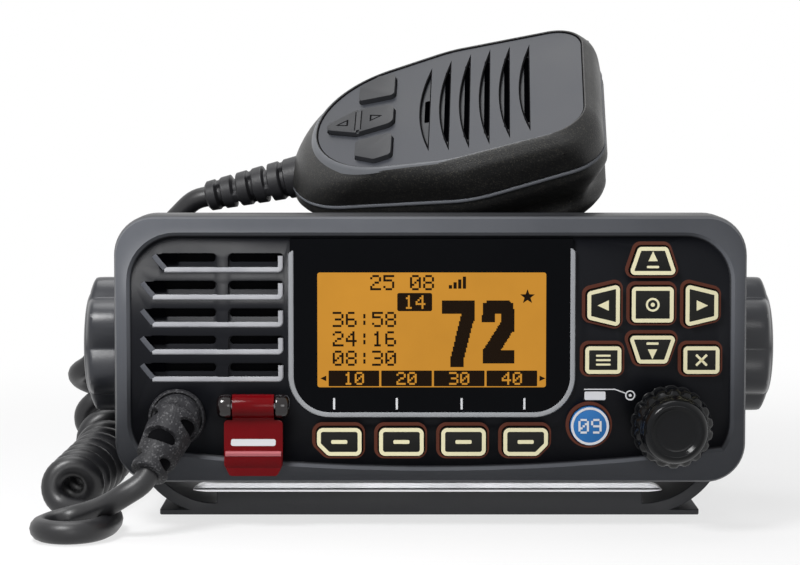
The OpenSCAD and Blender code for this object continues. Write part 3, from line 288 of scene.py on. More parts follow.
def band(outer: np.ndarray, inner: np.ndarray, low: float, high: float, high_inner: float | None = None) -> Part:
    """Makes a band between two outlines, such as the ring on a key.

    Args:
        outer: the outer outline.
        inner: the inner outline, of as many points.
        low: the height of the underside.
        high: the height of the top at the outer outline.
        high_inner: the height of the top at the inner outline, if it isn't the same.

    Returns:
        The closed part.
    """
    top = high if high_inner is None else high_inner
    rings = np.array([raised(o, z) for o, z in ((outer, low), (outer, high), (inner, top), (inner, low))])
    cols = len(outer)
    last = grid_quads(2, cols)
    last = np.where(last < cols, last + 3 * cols, last - cols)
    return rings.reshape(-1, 3), np.vstack([grid_quads(4, cols), last]).tolist()


def bars(cells: np.ndarray, size: Pair, low: float, high: float) -> Part:
    """Makes small closed blocks.

    Args:
        cells: their centres, an array of n by 2.
        size: their width and height.
        low: where they begin, out from the plane.
        high: where they end.

    Returns:
        All of them as one part.
    """
    flat = cells[:, None, :] + np.array([(-1, -1), (1, -1), (1, 1), (-1, 1)]) * np.array(size) / 2
    levels = [np.concatenate([flat, np.full(flat.shape[:2] + (1,), z)], 2) for z in (low, high)]
    one = np.array([(3, 2, 1, 0), (4, 5, 6, 7), (0, 1, 5, 4), (1, 2, 6, 5), (2, 3, 7, 6), (3, 0, 4, 7)])
    faces = (one[None] + 8 * np.arange(len(cells))[:, None, None]).reshape(-1, 4).tolist()
    return np.concatenate(levels, 1).reshape(-1, 3), faces


def joined(parts: Sequence[Part]) -> Part:
    """Joins several parts.

    Args:
        parts: the parts.

    Returns:
        All of them as one part.
    """
    first = np.cumsum([0] + [len(p) for p, _ in parts])
    faces = [[i + start for i in face] for start, (_, part) in zip(first, parts) for face in part]
    return np.vstack([p for p, _ in parts]), faces


def moved(part: Part, at: Sequence[float], scale: Sequence[float] = (1, 1, 1)) -> Part:
    """Returns a part stretched along the axes and then moved."""
    return part[0] * np.array(scale) + np.array(at), part[1]


def carried(path: np.ndarray, sideways: np.ndarray, profile: Sequence[Pair]) -> Part:
    """Carries a profile along a flat path.

    Each point is path + sideways * g, at the height z, for the profile's (g, z).

    Args:
        path: the path, n by 2.
        sideways: the direction that g is measured in, at each point of the path.
        profile: the section as (distance, height) pairs.

    Returns:
        The closed part.
    """
    return loft(np.stack([raised(path + sideways * g, z) for g, z in profile], 1))


def revolved(radius: np.ndarray, height: np.ndarray, steps: int) -> np.ndarray:
    """Turns a profile about the third axis: (radius cos a, radius sin a, height) for a full turn of angles a.

    Args:
        radius: the radii, n by 1, or n by steps where they change with the angle.
        height: the heights, n by 1.
        steps: number of angles.

    Returns:
        The rings, an array of n by steps by 3.
    """
    a = np.linspace(0, 2 * np.pi, steps, endpoint=False)
    return np.stack([radius * np.cos(a), radius * np.sin(a), np.repeat(height, steps, 1)], 2)


def line_ends(count: int, over: float) -> np.ndarray:
    """Returns for each of count points a share that grows from 0 at both ends to 1 over a number of points."""
    return np.clip(np.minimum(np.arange(count), np.arange(count)[::-1]) / over, 0, 1)


# ---------------------------------------------------------------- node helpers

Node = bpy.types.Node
NodeTree = bpy.types.NodeTree
Key = str | int


def set_inputs(node: Node, values: dict[Key, object]) -> None:
    """Sets constants on a node's own sockets."""
    for socket, value in values.items():
        node.inputs[socket].default_value = value


def add_node(tree: NodeTree, kind: str, values: dict[Key, object] | None = None, **settings: object) -> Node:
    """Adds a node to a tree.

    Args:
        tree: the tree.
        kind: the node's type.
        values: constants for its sockets.
        settings: its own properties, such as operation.

    Returns:
        The node.
    """
    node = tree.nodes.new(kind)
    for name, value in settings.items():
        setattr(node, name, value)
    set_inputs(node, values or {})
    return node


def link(tree: NodeTree, *wires: tuple[Node, Key, Node, Key]) -> None:
    """Links sockets; each wire names a node and its output, then a node and its input."""
    for source, out, target, into in wires:
        tree.links.new(source.outputs[out], target.inputs[into])


def linear(*rgb: int) -> tuple[float, float, float, float]:
    """Makes a colour linear, by the sRGB curve.

    Args:
        rgb: red, green and blue, each 0 to 255.

    Returns:
        The linear colour and an alpha of 1.
    """
    c = np.array(rgb, float) / 255
    c = np.where(c <= 0.04045, c / 12.92, ((c + 0.055) / 1.055) ** 2.4)
    return (*map(float, c), 1.0)


# ---------------------------------------------------------------- finishes

class Effects:
    """The shader groups that several finishes share, each built once."""

    VECTOR: ClassVar[str] = "NodeSocketVector"
    FLOAT: ClassVar[str] = "NodeSocketFloat"
    COLOR: ClassVar[str] = "NodeSocketColor"

    @classmethod
    def get(cls, name: str) -> NodeTree:
        """Returns the group that the method of this name builds, built on first use."""
        return bpy.data.node_groups.get(name) or getattr(cls, name)(name)

    @staticmethod
    def group(name: str, inputs: Sequence[tuple[str, str, object]], outputs: Sequence[tuple[str, str]]
              ) -> tuple[NodeTree, Node, Node]:
        """Makes an empty node group.

        Args:
            name: its name.
            inputs: the label, type and first value of each input.
            outputs: the label and type of each output.

        Returns:
            The group, its input node and its output node.
        """
        tree = bpy.data.node_groups.new(name, "ShaderNodeTree")
        for label, kind, value in inputs:
            socket = tree.interface.new_socket(label, in_out="INPUT", socket_type=kind)
            if value is not None:
                socket.default_value = value
        for label, kind in outputs:
            tree.interface.new_socket(label, in_out="OUTPUT", socket_type=kind)
        return tree, tree.nodes.new("NodeGroupInput"), tree.nodes.new("NodeGroupOutput")

    @classmethod
    def moulded_grain(cls, name: str) -> NodeTree:
        """Builds moulded grain, as a height of 0 to 1: small cells broken up by fine noise.

        Args:
            name: the group's name.

        Returns:
            The group.
        """
        tree, start, end = cls.group(name, [("Vector", cls.VECTOR, None), ("Scale", cls.FLOAT, 900.0),
                                            ("Pitted", cls.FLOAT, 0.5)], [("Height", cls.FLOAT)])
        cells = add_node(tree, "ShaderNodeTexVoronoi")
        noise = add_node(tree, "ShaderNodeTexNoise", {"Detail": 3.0})
        mix = add_node(tree, "ShaderNodeMix")
        link(tree, (start, "Vector", cells, "Vector"), (start, "Scale", cells, "Scale"),
             (start, "Vector", noise, "Vector"), (start, "Scale", noise, "Scale"), (start, "Pitted", mix, "Factor"),
             (noise, "Fac", mix, "A"), (cells, "Distance", mix, "B"), (mix, "Result", end, "Height"))
        return tree

    @classmethod
    def handling(cls, name: str) -> NodeTree:
        """Builds the soft patches of handling and dust: a colour and a roughness that drift over the surface.

        Args:
            name: the group's name.

        Returns:
            The group.
        """
        tree, start, end = cls.group(name, [
            ("Vector", cls.VECTOR, None), ("Scale", cls.FLOAT, 30.0), ("Color", cls.COLOR, (0.1, 0.1, 0.1, 1)),
            ("Worn Color", cls.COLOR, (0.2, 0.2, 0.2, 1)), ("Smooth", cls.FLOAT, 0.3), ("Rough", cls.FLOAT, 0.6)],
            [("Color", cls.COLOR), ("Roughness", cls.FLOAT)])
        noise = add_node(tree, "ShaderNodeTexNoise", {"Detail": 5.0, "Roughness": 0.65})
        ramp = add_node(tree, "ShaderNodeMapRange", {"From Min": 0.35, "From Max": 0.7})
        rough = add_node(tree, "ShaderNodeMapRange", {"From Min": 0.3, "From Max": 0.7})
        mix = add_node(tree, "ShaderNodeMix", data_type="RGBA")
        link(tree, (start, "Vector", noise, "Vector"), (start, "Scale", noise, "Scale"),
             (noise, "Fac", ramp, "Value"), (noise, "Fac", rough, "Value"), (ramp, "Result", mix, "Factor"),
             (start, "Color", mix, "A"), (start, "Worn Color", mix, "B"), (start, "Smooth", rough, "To Min"),
             (start, "Rough", rough, "To Max"), (mix, "Result", end, "Color"), (rough, "Result", end, "Roughness"))
        return tree

    @classmethod
    def crown(cls, name: str) -> NodeTree:
        """Builds the faint crown of a moulded face: a height that falls off with the square of the distance.

        Args:
            name: the group's name.

        Returns:
            The group.
        """
        tree, start, end = cls.group(name, [
            ("Vector", cls.VECTOR, None), ("Middle", cls.VECTOR, (0, 0, 0)), ("Fall", cls.VECTOR, (1, 0, 1))],
            [("Height", cls.FLOAT)])
        away, square, total = (add_node(tree, "ShaderNodeVectorMath", operation=kind)
                               for kind in ("SUBTRACT", "MULTIPLY", "DOT_PRODUCT"))
        link(tree, (start, "Vector", away, 0), (start, "Middle", away, 1), (away, "Vector", square, 0),
             (away, "Vector", square, 1), (square, "Vector", total, 0), (start, "Fall", total, 1),
             (total, "Value", end, "Height"))
        return tree

    @classmethod
    def speckle(cls, name: str) -> NodeTree:
        """Builds the speckle of a coarse moulded skin, as a mask of 0 to 1, where glints of its raised grain are
        painted.

        Args:
            name: the group's name.

        Returns:
            The group.
        """
        tree, start, end = cls.group(name, [("Vector", cls.VECTOR, None), ("Scale", cls.FLOAT, 1500.0),
                                            ("Amount", cls.FLOAT, 0.35)], [("Mask", cls.FLOAT)])
        cells, ramp = add_node(tree, "ShaderNodeTexVoronoi"), add_node(tree, "ShaderNodeMapRange")
        split = add_node(tree, "ShaderNodeSeparateColor")
        less = add_node(tree, "ShaderNodeMath", {0: 1.0}, operation="SUBTRACT")
        link(tree, (start, "Vector", cells, "Vector"), (start, "Scale", cells, "Scale"),
             (cells, "Color", split, "Color"), (split, "Red", ramp, "Value"), (start, "Amount", less, 1),
             (less, "Value", ramp, "From Min"), (ramp, "Result", end, "Mask"))
        return tree


@dataclass(frozen=True)
class Finish:
    """A moulded or painted finish: two drifting colours, a roughness range and a fine grain."""

    name: str
    slot: str
    color: Color
    worn: Color
    smooth: float = 0.35
    rough: float = 0.55
    metallic: float = 0.0
    coat: float = 0.0
    shine: float = 0.2
    grain_scale: float = 1800.0
    grain_depth: float = 0.00002
    pitted: float = 0.5
    patch_scale: float = 25.0

    COAT_ROUGHNESS: ClassVar[float] = 0.08
    _made: ClassVar[dict[str, bpy.types.Material]] = {}

    def material(self) -> bpy.types.Material:
        """Gives the finish's material, made on first use.

        Returns:
            The material.
        """
        if self.name not in Finish._made:
            material = bpy.data.materials.new(self.name)
            material.use_nodes = True
            self.wire(material.node_tree)
            Finish._made[self.name] = material
        return Finish._made[self.name]

    def wire(self, tree: NodeTree) -> Node:
        """Builds the nodes: the patches give colour and roughness, the grain a bump.

        Args:
            tree: the material's nodes.

        Returns:
            The shader.
        """
        shader = tree.nodes["Principled BSDF"]
        set_inputs(shader, {"Metallic": self.metallic, "Specular IOR Level": self.shine, "Coat Weight": self.coat,
                            "Coat Roughness": self.COAT_ROUGHNESS})
        place = add_node(tree, "ShaderNodeTexCoord", name="place")
        hands = add_node(tree, "ShaderNodeGroup", {
            "Scale": self.patch_scale, "Color": linear(*self.color), "Worn Color": linear(*self.worn),
            "Smooth": self.smooth, "Rough": self.rough}, node_tree=Effects.get("handling"), name="hands")
        grain = add_node(tree, "ShaderNodeGroup", {"Scale": self.grain_scale, "Pitted": self.pitted},
                         node_tree=Effects.get("moulded_grain"), name="grain")
        bump = add_node(tree, "ShaderNodeBump", {"Strength": 1.0, "Distance": self.grain_depth}, name="bump")
        link(tree, (place, "Object", hands, "Vector"), (place, "Object", grain, "Vector"),
             (grain, "Height", bump, "Height"), (bump, "Normal", shader, "Normal"),
             (hands, "Color", shader, "Base Color"), (hands, "Roughness", shader, "Roughness"))
        return shader

    @staticmethod
    def layered(tree: NodeTree, height: Node, out: Key, layers: Sequence[tuple[float, float, Color]]) -> None:
        """Blends the base colour into others with height.

        Args:
            tree: the material's nodes.
            height: the node that gives the height in metres.
            out: its output.
            layers: for each colour the heights in millimetres where it begins and where it is full, and the colour.
        """
        source, color = tree.nodes["hands"], "Color"
        for start, full, tint in layers:
            share = add_node(tree, "ShaderNodeMapRange", {"From Min": start * MM, "From Max": full * MM})
            mix = add_node(tree, "ShaderNodeMix", data_type="RGBA")
            set_inputs(mix, {"B": linear(*tint)})
            link(tree, (height, out, share, "Value"), (share, "Result", mix, "Factor"), (source, color, mix, "A"))
            source, color = mix, "Result"
        link(tree, (source, color, tree.nodes["Principled BSDF"], "Base Color"))


@dataclass(frozen=True)
class SpeckledFinish(Finish):
    """A coarse skin, with glints of its raised grain painted into its colour as lighter flecks."""

    painted_glint: Color = (84, 82, 78)
    amount: float = 0.3
    speckle_scale: float = 1500.0

    def wire(self, tree: NodeTree) -> Node:
        """Adds the speckle, glints painted as lighter flecks, to the plain finish.

        Args:
            tree: the material's nodes.

        Returns:
            The shader.
        """
        shader = super().wire(tree)
        speckle = add_node(tree, "ShaderNodeGroup", {"Scale": self.speckle_scale, "Amount": self.amount},
                           node_tree=Effects.get("speckle"))
        mix = add_node(tree, "ShaderNodeMix", data_type="RGBA")
        set_inputs(mix, {"B": linear(*self.painted_glint)})
        link(tree, (tree.nodes["place"], "Object", speckle, "Vector"), (speckle, "Mask", mix, "Factor"),
             (tree.nodes["hands"], "Color", mix, "A"), (mix, "Result", shader, "Base Color"))
        return shader


@dataclass(frozen=True)
class PanelFinish(Finish):
    """The front unit: a satin frame round a darker recess, and a dark rim at its back."""

    recess: Color = (20, 21, 25)
    rim: Color = (31, 32, 35)
    recess_from: Pair = (0.9, 1.35)
    rim_from: Pair = (2.4, 3.2)
    fall: Triple = (-2.0, 0.0, -15.0)

    def wire(self, tree: NodeTree) -> Node:
        """Blends the frame's colour to the recess's and the rim's by depth below the face, and crowns the face.

        Args:
            tree: the material's nodes.

        Returns:
            The shader.
        """
        shader = super().wire(tree)
        place = tree.nodes["place"]
        split = add_node(tree, "ShaderNodeSeparateXYZ")
        link(tree, (place, "Object", split, "Vector"))
        self.layered(tree, split, "Y", [(FACE_Y + near, FACE_Y + far, tint) for (near, far), tint in (
            (self.recess_from, self.recess), (self.rim_from, self.rim))])
        crown = add_node(tree, "ShaderNodeGroup", {"Middle": (0, 0, FACE_Z * MM), "Fall": self.fall},
                         node_tree=Effects.get("crown"))
        bump = add_node(tree, "ShaderNodeBump", {"Distance": 1.0})
        link(tree, (place, "Object", crown, "Vector"), (crown, "Height", bump, "Height"),
             (bump, "Normal", tree.nodes["bump"], "Normal"))
        return shader


@dataclass(frozen=True)
class PlateFinish(Finish):
    """The microphone's face: satin on top, with painted shade by depth: darker in its crescents and black in its
    slits.
    """

    # painted shade: the crescents' floors darker and the slits' bottoms black, by depth
    crescent: Color = (40, 42, 46)
    slit: Color = (4, 4, 6)
    top: float = -0.4
    crescent_shade_from: Pair = (-0.35, -0.7)
    slit_shade_from: Pair = (-0.95, -1.3)

    def wire(self, tree: NodeTree) -> Node:
        """Blends in the painted shade colours by the height above the microphone's own plane.

        Args:
            tree: the material's nodes.

        Returns:
            The shader.
        """
        shader = super().wire(tree)
        height = add_node(tree, "ShaderNodeVectorMath", {1: MIC.out}, operation="DOT_PRODUCT")
        link(tree, (tree.nodes["place"], "Object", height, 0))
        foot = float(np.dot(MIC.origin, MIC.out)) + self.top
        self.layered(tree, height, "Value", [(foot + near, foot + far, tint) for (near, far), tint in (
            (self.crescent_shade_from, self.crescent), (self.slit_shade_from, self.slit))])
        return shader


@dataclass(frozen=True)
class GlowFinish(Finish):
    """A finish that also glows by itself, such as a lit display."""

    glow: Color = (212, 148, 52)
    strength: float = 0.9
    glow_scale: float = 18.0
    uneven: float = 0.93

    def wire(self, tree: NodeTree) -> Node:
        """Adds the glow, a little uneven as a backlight is.

        Args:
            tree: the material's nodes.

        Returns:
            The shader.
        """
        shader = super().wire(tree)
        light = add_node(tree, "ShaderNodeGroup", {
            "Scale": self.glow_scale, "Color": linear(*self.glow),
            "Worn Color": linear(*(int(self.uneven * c) for c in self.glow))}, node_tree=Effects.get("handling"))
        link(tree, (tree.nodes["place"], "Object", light, "Vector"), (light, "Color", shader, "Emission Color"))
        set_inputs(shader, {"Emission Strength": self.strength})
        return shader


@dataclass(frozen=True)
class ClearFinish(Finish):
    """A translucent coloured plastic."""

    through: float = 0.5
    ior: float = 1.49

    def wire(self, tree: NodeTree) -> Node:
        """Lets part of the light through.

        Args:
            tree: the material's nodes.

        Returns:
            The shader.
        """
        shader = super().wire(tree)
        set_inputs(shader, {"Transmission Weight": self.through, "IOR": self.ior})
        return shader


@dataclass(frozen=True)
class TurnedFinish(Finish):
    """Turned or brushed metal: fine rings round the axis of the piece."""

    axis: str = "X"
    wide: float = 60.0
    fine: float = 6000.0

    def wire(self, tree: NodeTree) -> Node:
        """Adds turning marks to the roughness, from a noise that is squeezed along the axis.

        Args:
            tree: the material's nodes.

        Returns:
            The shader.
        """
        shader = super().wire(tree)
        scale = [self.fine if axis == self.axis else self.wide for axis in "XYZ"]
        stretch = add_node(tree, "ShaderNodeMapping", {"Scale": scale})
        noise = add_node(tree, "ShaderNodeTexNoise")
        marks = add_node(tree, "ShaderNodeMapRange", {"To Min": self.smooth, "To Max": self.rough})
        link(tree, (tree.nodes["place"], "Object", stretch, "Vector"), (stretch, "Vector", noise, "Vector"),
             (noise, "Fac", marks, "Value"), (marks, "Result", shader, "Roughness"))
        return shader


class Look(Enum):
    """Every finish of the radio."""

    PANEL = PanelFinish("panel_satin", "panel_plastic", (82, 84, 89), (90, 92, 97), 0.3, 0.42, shine=0.09,
                        grain_scale=2600, grain_depth=0.000008)
    BRACKET = Finish("bracket_grain", "bracket_plastic", (56, 57, 60), (66, 67, 70), 0.35, 0.5, shine=0.3,
                     grain_scale=1500, grain_depth=0.00002)
    # painted highlight: near white, for the light that falls along the front edge of the bracket's base
    STRIP_HIGHLIGHT = Finish("bracket_strip_painted_highlight", "bracket_plastic", (246, 247, 250), (238, 239, 242), 0.28, 0.4,
                  metallic=0.7, shine=0.5, grain_scale=1500, grain_depth=0.000004)
    KNOB = Finish("knob_grain", "knob_plastic", (28, 30, 36), (36, 38, 44), 0.26, 0.4, shine=0.5,
                  grain_scale=1400, grain_depth=0.000015)
    CASE = Finish("case_texture_paint", "case_metal", (32, 33, 36), (40, 41, 44), 0.45, 0.6, metallic=0.2,
                  grain_scale=1200, grain_depth=0.00005)
    RUBBER = Finish("black_rubber", "black_rubber", (30, 30, 32), (44, 44, 47), 0.35, 0.55, shine=0.35,
                    grain_scale=2600, grain_depth=0.00003, pitted=0.7)
    BOOT = SpeckledFinish("boot_rubber", "black_rubber", (30, 30, 32), (40, 40, 43), 0.4, 0.6, shine=0.2,
                          grain_scale=2000, grain_depth=0.0001, pitted=0.7, painted_glint=(88, 88, 90), amount=0.2,
                          speckle_scale=2600)
    CORD = Finish("cord_jacket", "cord_jacket", (17, 17, 19), (24, 24, 27), 0.34, 0.46, shine=0.5,
                  grain_scale=900, grain_depth=0.00001, patch_scale=60)
    STEEL = TurnedFinish("turned_steel", "steel", (160, 160, 163), (145, 146, 150), 0.22, 0.4, metallic=1.0,
                         shine=0.5)
    NICKEL = TurnedFinish("nickel", "nickel", (205, 203, 198), (190, 188, 182), 0.12, 0.28, metallic=1.0,
                          shine=0.5, axis="Y")
    BRASS = TurnedFinish("turned_brass", "brass", (200, 165, 95), (180, 140, 80), 0.2, 0.35, metallic=1.0,
                         shine=0.5, axis="Y")
    LENS = Finish("lens_gloss", "gloss_lens", (5, 6, 9), (7, 8, 11), 0.06, 0.1, shine=0.04,
                  grain_scale=300, grain_depth=0.000001)
    # painted highlight: light grey where the recess wall round the lens's sides and foot catches the light
    LENS_EDGE_HIGHLIGHT = Finish("lens_edge_highlight", "panel_plastic", (146, 148, 152), (156, 158, 161), 0.25, 0.35,
                   grain_depth=0.000004)
    # painted highlight: light grey on the lower bevel of each speaker slot
    GRILLE_HIGHLIGHT = Finish("grille_bevel_highlight", "panel_plastic", (168, 169, 173), (150, 151, 156), 0.3, 0.42,
                    grain_depth=0.000004, patch_scale=80)
    # painted highlight, dimmer: mid grey on the slanted ends of the speaker slots
    GRILLE_SLANT_HIGHLIGHT = Finish("grille_slant_dim_highlight", "panel_plastic", (84, 86, 92), (70, 72, 78), 0.35, 0.5,
                    grain_depth=0.000004, patch_scale=80)
    AMBER = GlowFinish("lit_display", "lit_display", (26, 16, 5), (26, 16, 5), 0.3, 0.4, shine=0.03,
                       grain_depth=0.000001)
    INK = Finish("display_ink", "gloss_lens", (24, 15, 8), (28, 18, 9), 0.3, 0.5, shine=0.03,
                 grain_depth=0.000001)
    KEY = Finish("key_dark", "key_plastic", (24, 24, 23), (30, 30, 28), 0.4, 0.55, shine=0.1, grain_depth=0.00001)
    CREAM = GlowFinish("key_ring_cream", "key_plastic", (196, 190, 156), (186, 180, 146), 0.3, 0.4,
                       grain_depth=0.000002, glow=(250, 244, 208), strength=0.3)
    HALO = GlowFinish("key_backlight", "panel_plastic", (48, 20, 10), (40, 17, 9), 0.4, 0.5,
                      grain_depth=0.000002, glow=(140, 60, 24), strength=0.2)
    BLUE = Finish("round_key_blue", "blue_key", (44, 114, 180), (40, 106, 170), 0.3, 0.45,
                  grain_depth=0.000006)
    WHITE = Finish("printed_white", "key_plastic", (225, 226, 228), (215, 216, 220), 0.35, 0.5,
                   grain_depth=0.000002)
    DIAL = Finish("dial_satin", "dial_plastic", (9, 10, 12), (14, 15, 18), 0.1, 0.2, shine=0.16,
                  grain_scale=2000, grain_depth=0.000006)
    SMOKED = Finish("hinge_smoked", "red_cover", (14, 10, 11), (20, 12, 13), 0.06, 0.12, shine=0.3, coat=0.4,
                    grain_depth=0.000002)
    RED_CLEAR = ClearFinish("flip_cover_red", "red_cover", (122, 5, 14), (98, 4, 10), 0.1, 0.18,
                            shine=0.06, coat=0.02, grain_depth=0.000002, through=0.06)
    # painted highlight: pale pink where the cover's ridge catches the light
    RIDGE_HIGHLIGHT = ClearFinish("flip_cover_ridge_highlight", "red_cover", (190, 108, 114), (176, 96, 102), 0.14, 0.24, shine=0.2,
                        grain_depth=0.000002, through=0.04)
    RED_KEY = Finish("covered_key_red", "red_key", (150, 22, 24), (135, 20, 22), 0.4, 0.5)
    # painted shade: black for the dark inside of the speaker slots and the microphone's slits
    SLOT_SHADE = Finish("slot_painted_shade", "speaker_cloth", (1, 1, 2), (3, 3, 4), 0.8, 0.95, shine=0.0,
                  grain_scale=1200, grain_depth=0.00002)
    # the speaker cloth's black, also used for painted shade and shadow in the microphone's plate groove and slot
    # edges
    CLOTH_AND_SHADE = Finish("speaker_cloth", "speaker_cloth", (5, 5, 7), (8, 8, 10), 0.8, 0.9, shine=0.05,
                   grain_scale=1200, grain_depth=0.0001)
    DARK_METAL = TurnedFinish("pressed_metal", "dark_metal", (90, 90, 95), (76, 76, 80), 0.3, 0.45,
                              metallic=0.9, shine=0.5, axis="Y")
    MAT = Finish("silicone_mat", "silicone_mat", (190, 189, 182), (180, 178, 170), 0.5, 0.65)
    BOARD = Finish("solder_mask", "circuit_board", (22, 90, 48), (18, 78, 40), 0.25, 0.4, grain_scale=700)
    MIC_BODY = SpeckledFinish("mic_speckled_skin", "mic_shell", (25, 25, 25), (33, 33, 33), 0.34, 0.5,
                              shine=0.4, grain_scale=3000, grain_depth=0.00005, pitted=0.8,
                              painted_glint=(64, 62, 57), amount=0.2, speckle_scale=4200)
    MIC_FACE = PlateFinish("mic_face_satin", "mic_face", (50, 52, 57), (58, 60, 66), 0.34, 0.46, shine=0.2,
                           grain_scale=2200, grain_depth=0.00001)
    MIC_KEY = Finish("mic_key_satin", "key_plastic", (38, 39, 42), (46, 47, 50), 0.34, 0.46, shine=0.2,
                     grain_scale=2200, grain_depth=0.00001)
    # painted highlight: light grey for the lit crescent of the rim at the cord's end
    MIC_RIM_HIGHLIGHT = Finish("mic_rim_painted_highlight", "mic_shell", (98, 100, 104), (88, 90, 94), 0.34, 0.48, shine=0.3,
                     grain_scale=2200, grain_depth=0.00001)
    SEAL = Finish("seam_seal", "grey_seal", (112, 115, 121), (122, 125, 131), 0.35, 0.45)


# ---------------------------------------------------------------- dressing solids

WELD = 0.000002  # metres: corners closer than this are merged
BEVEL_ANGLE = 35.0  # edges sharper than this are rounded
SHADE_ANGLE = 28.0  # and edges sharper than this are shaded sharp


def dress(look: Look, *nodes: str) -> None:
    """Gives solids of the frame a finish.

    Args:
        look: the finish.
        nodes: the solids.
    """
    for name in nodes:
        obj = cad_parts[name]
        obj.data.materials.clear()
        obj.data.materials.append(look.value.material())


def shading_group() -> NodeTree:
    """Builds the geometry nodes that shade a mesh smooth where its faces meet at less than an angle.

    Returns:
        The group, built on first use.
    """
    name = "smooth_by_angle"
    if name in bpy.data.node_groups:
        return bpy.data.node_groups[name]
    tree = bpy.data.node_groups.new(name, "GeometryNodeTree")
    for way in ("INPUT", "OUTPUT"):
        tree.interface.new_socket("Geometry", in_out=way, socket_type="NodeSocketGeometry")
    start, end = add_node(tree, "NodeGroupInput"), add_node(tree, "NodeGroupOutput")
    faces = add_node(tree, "GeometryNodeSetShadeSmooth", domain="FACE")
    edges = add_node(tree, "GeometryNodeSetShadeSmooth", {"Shade Smooth": False}, domain="EDGE")
    angle = add_node(tree, "GeometryNodeInputMeshEdgeAngle")
    above = add_node(tree, "FunctionNodeCompare", {"B": np.radians(SHADE_ANGLE)}, operation="GREATER_THAN")
    link(tree, (start, "Geometry", faces, "Geometry"), (faces, "Geometry", edges, "Geometry"),
         (angle, "Unsigned Angle", above, "A"), (above, "Result", edges, "Selection"),
         (edges, "Geometry", end, "Geometry"))
    return tree


def soften(width: float, *nodes: str, segments: int = 2) -> None:
    """Merges the triangles of solids, rounds their sharp edges and shades them smooth.

    Args:
        width: the rounding in millimetres; at 0 the edges stay sharp.
        nodes: the solids.
        segments: steps of the rounding.
    """
    for name in nodes:
        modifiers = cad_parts[name].modifiers
        modifiers.new("weld", "WELD").merge_threshold = WELD
        if width > 0:
            bevel = modifiers.new("bevel", "BEVEL")
            bevel.width, bevel.segments = width * MM, segments
            bevel.limit_method, bevel.angle_limit = "ANGLE", np.radians(BEVEL_ANGLE)
            bevel.use_clamp_overlap = True
        modifiers.new("shading", "NODES").node_group = shading_group()


# ---------------------------------------------------------------- the curly cord

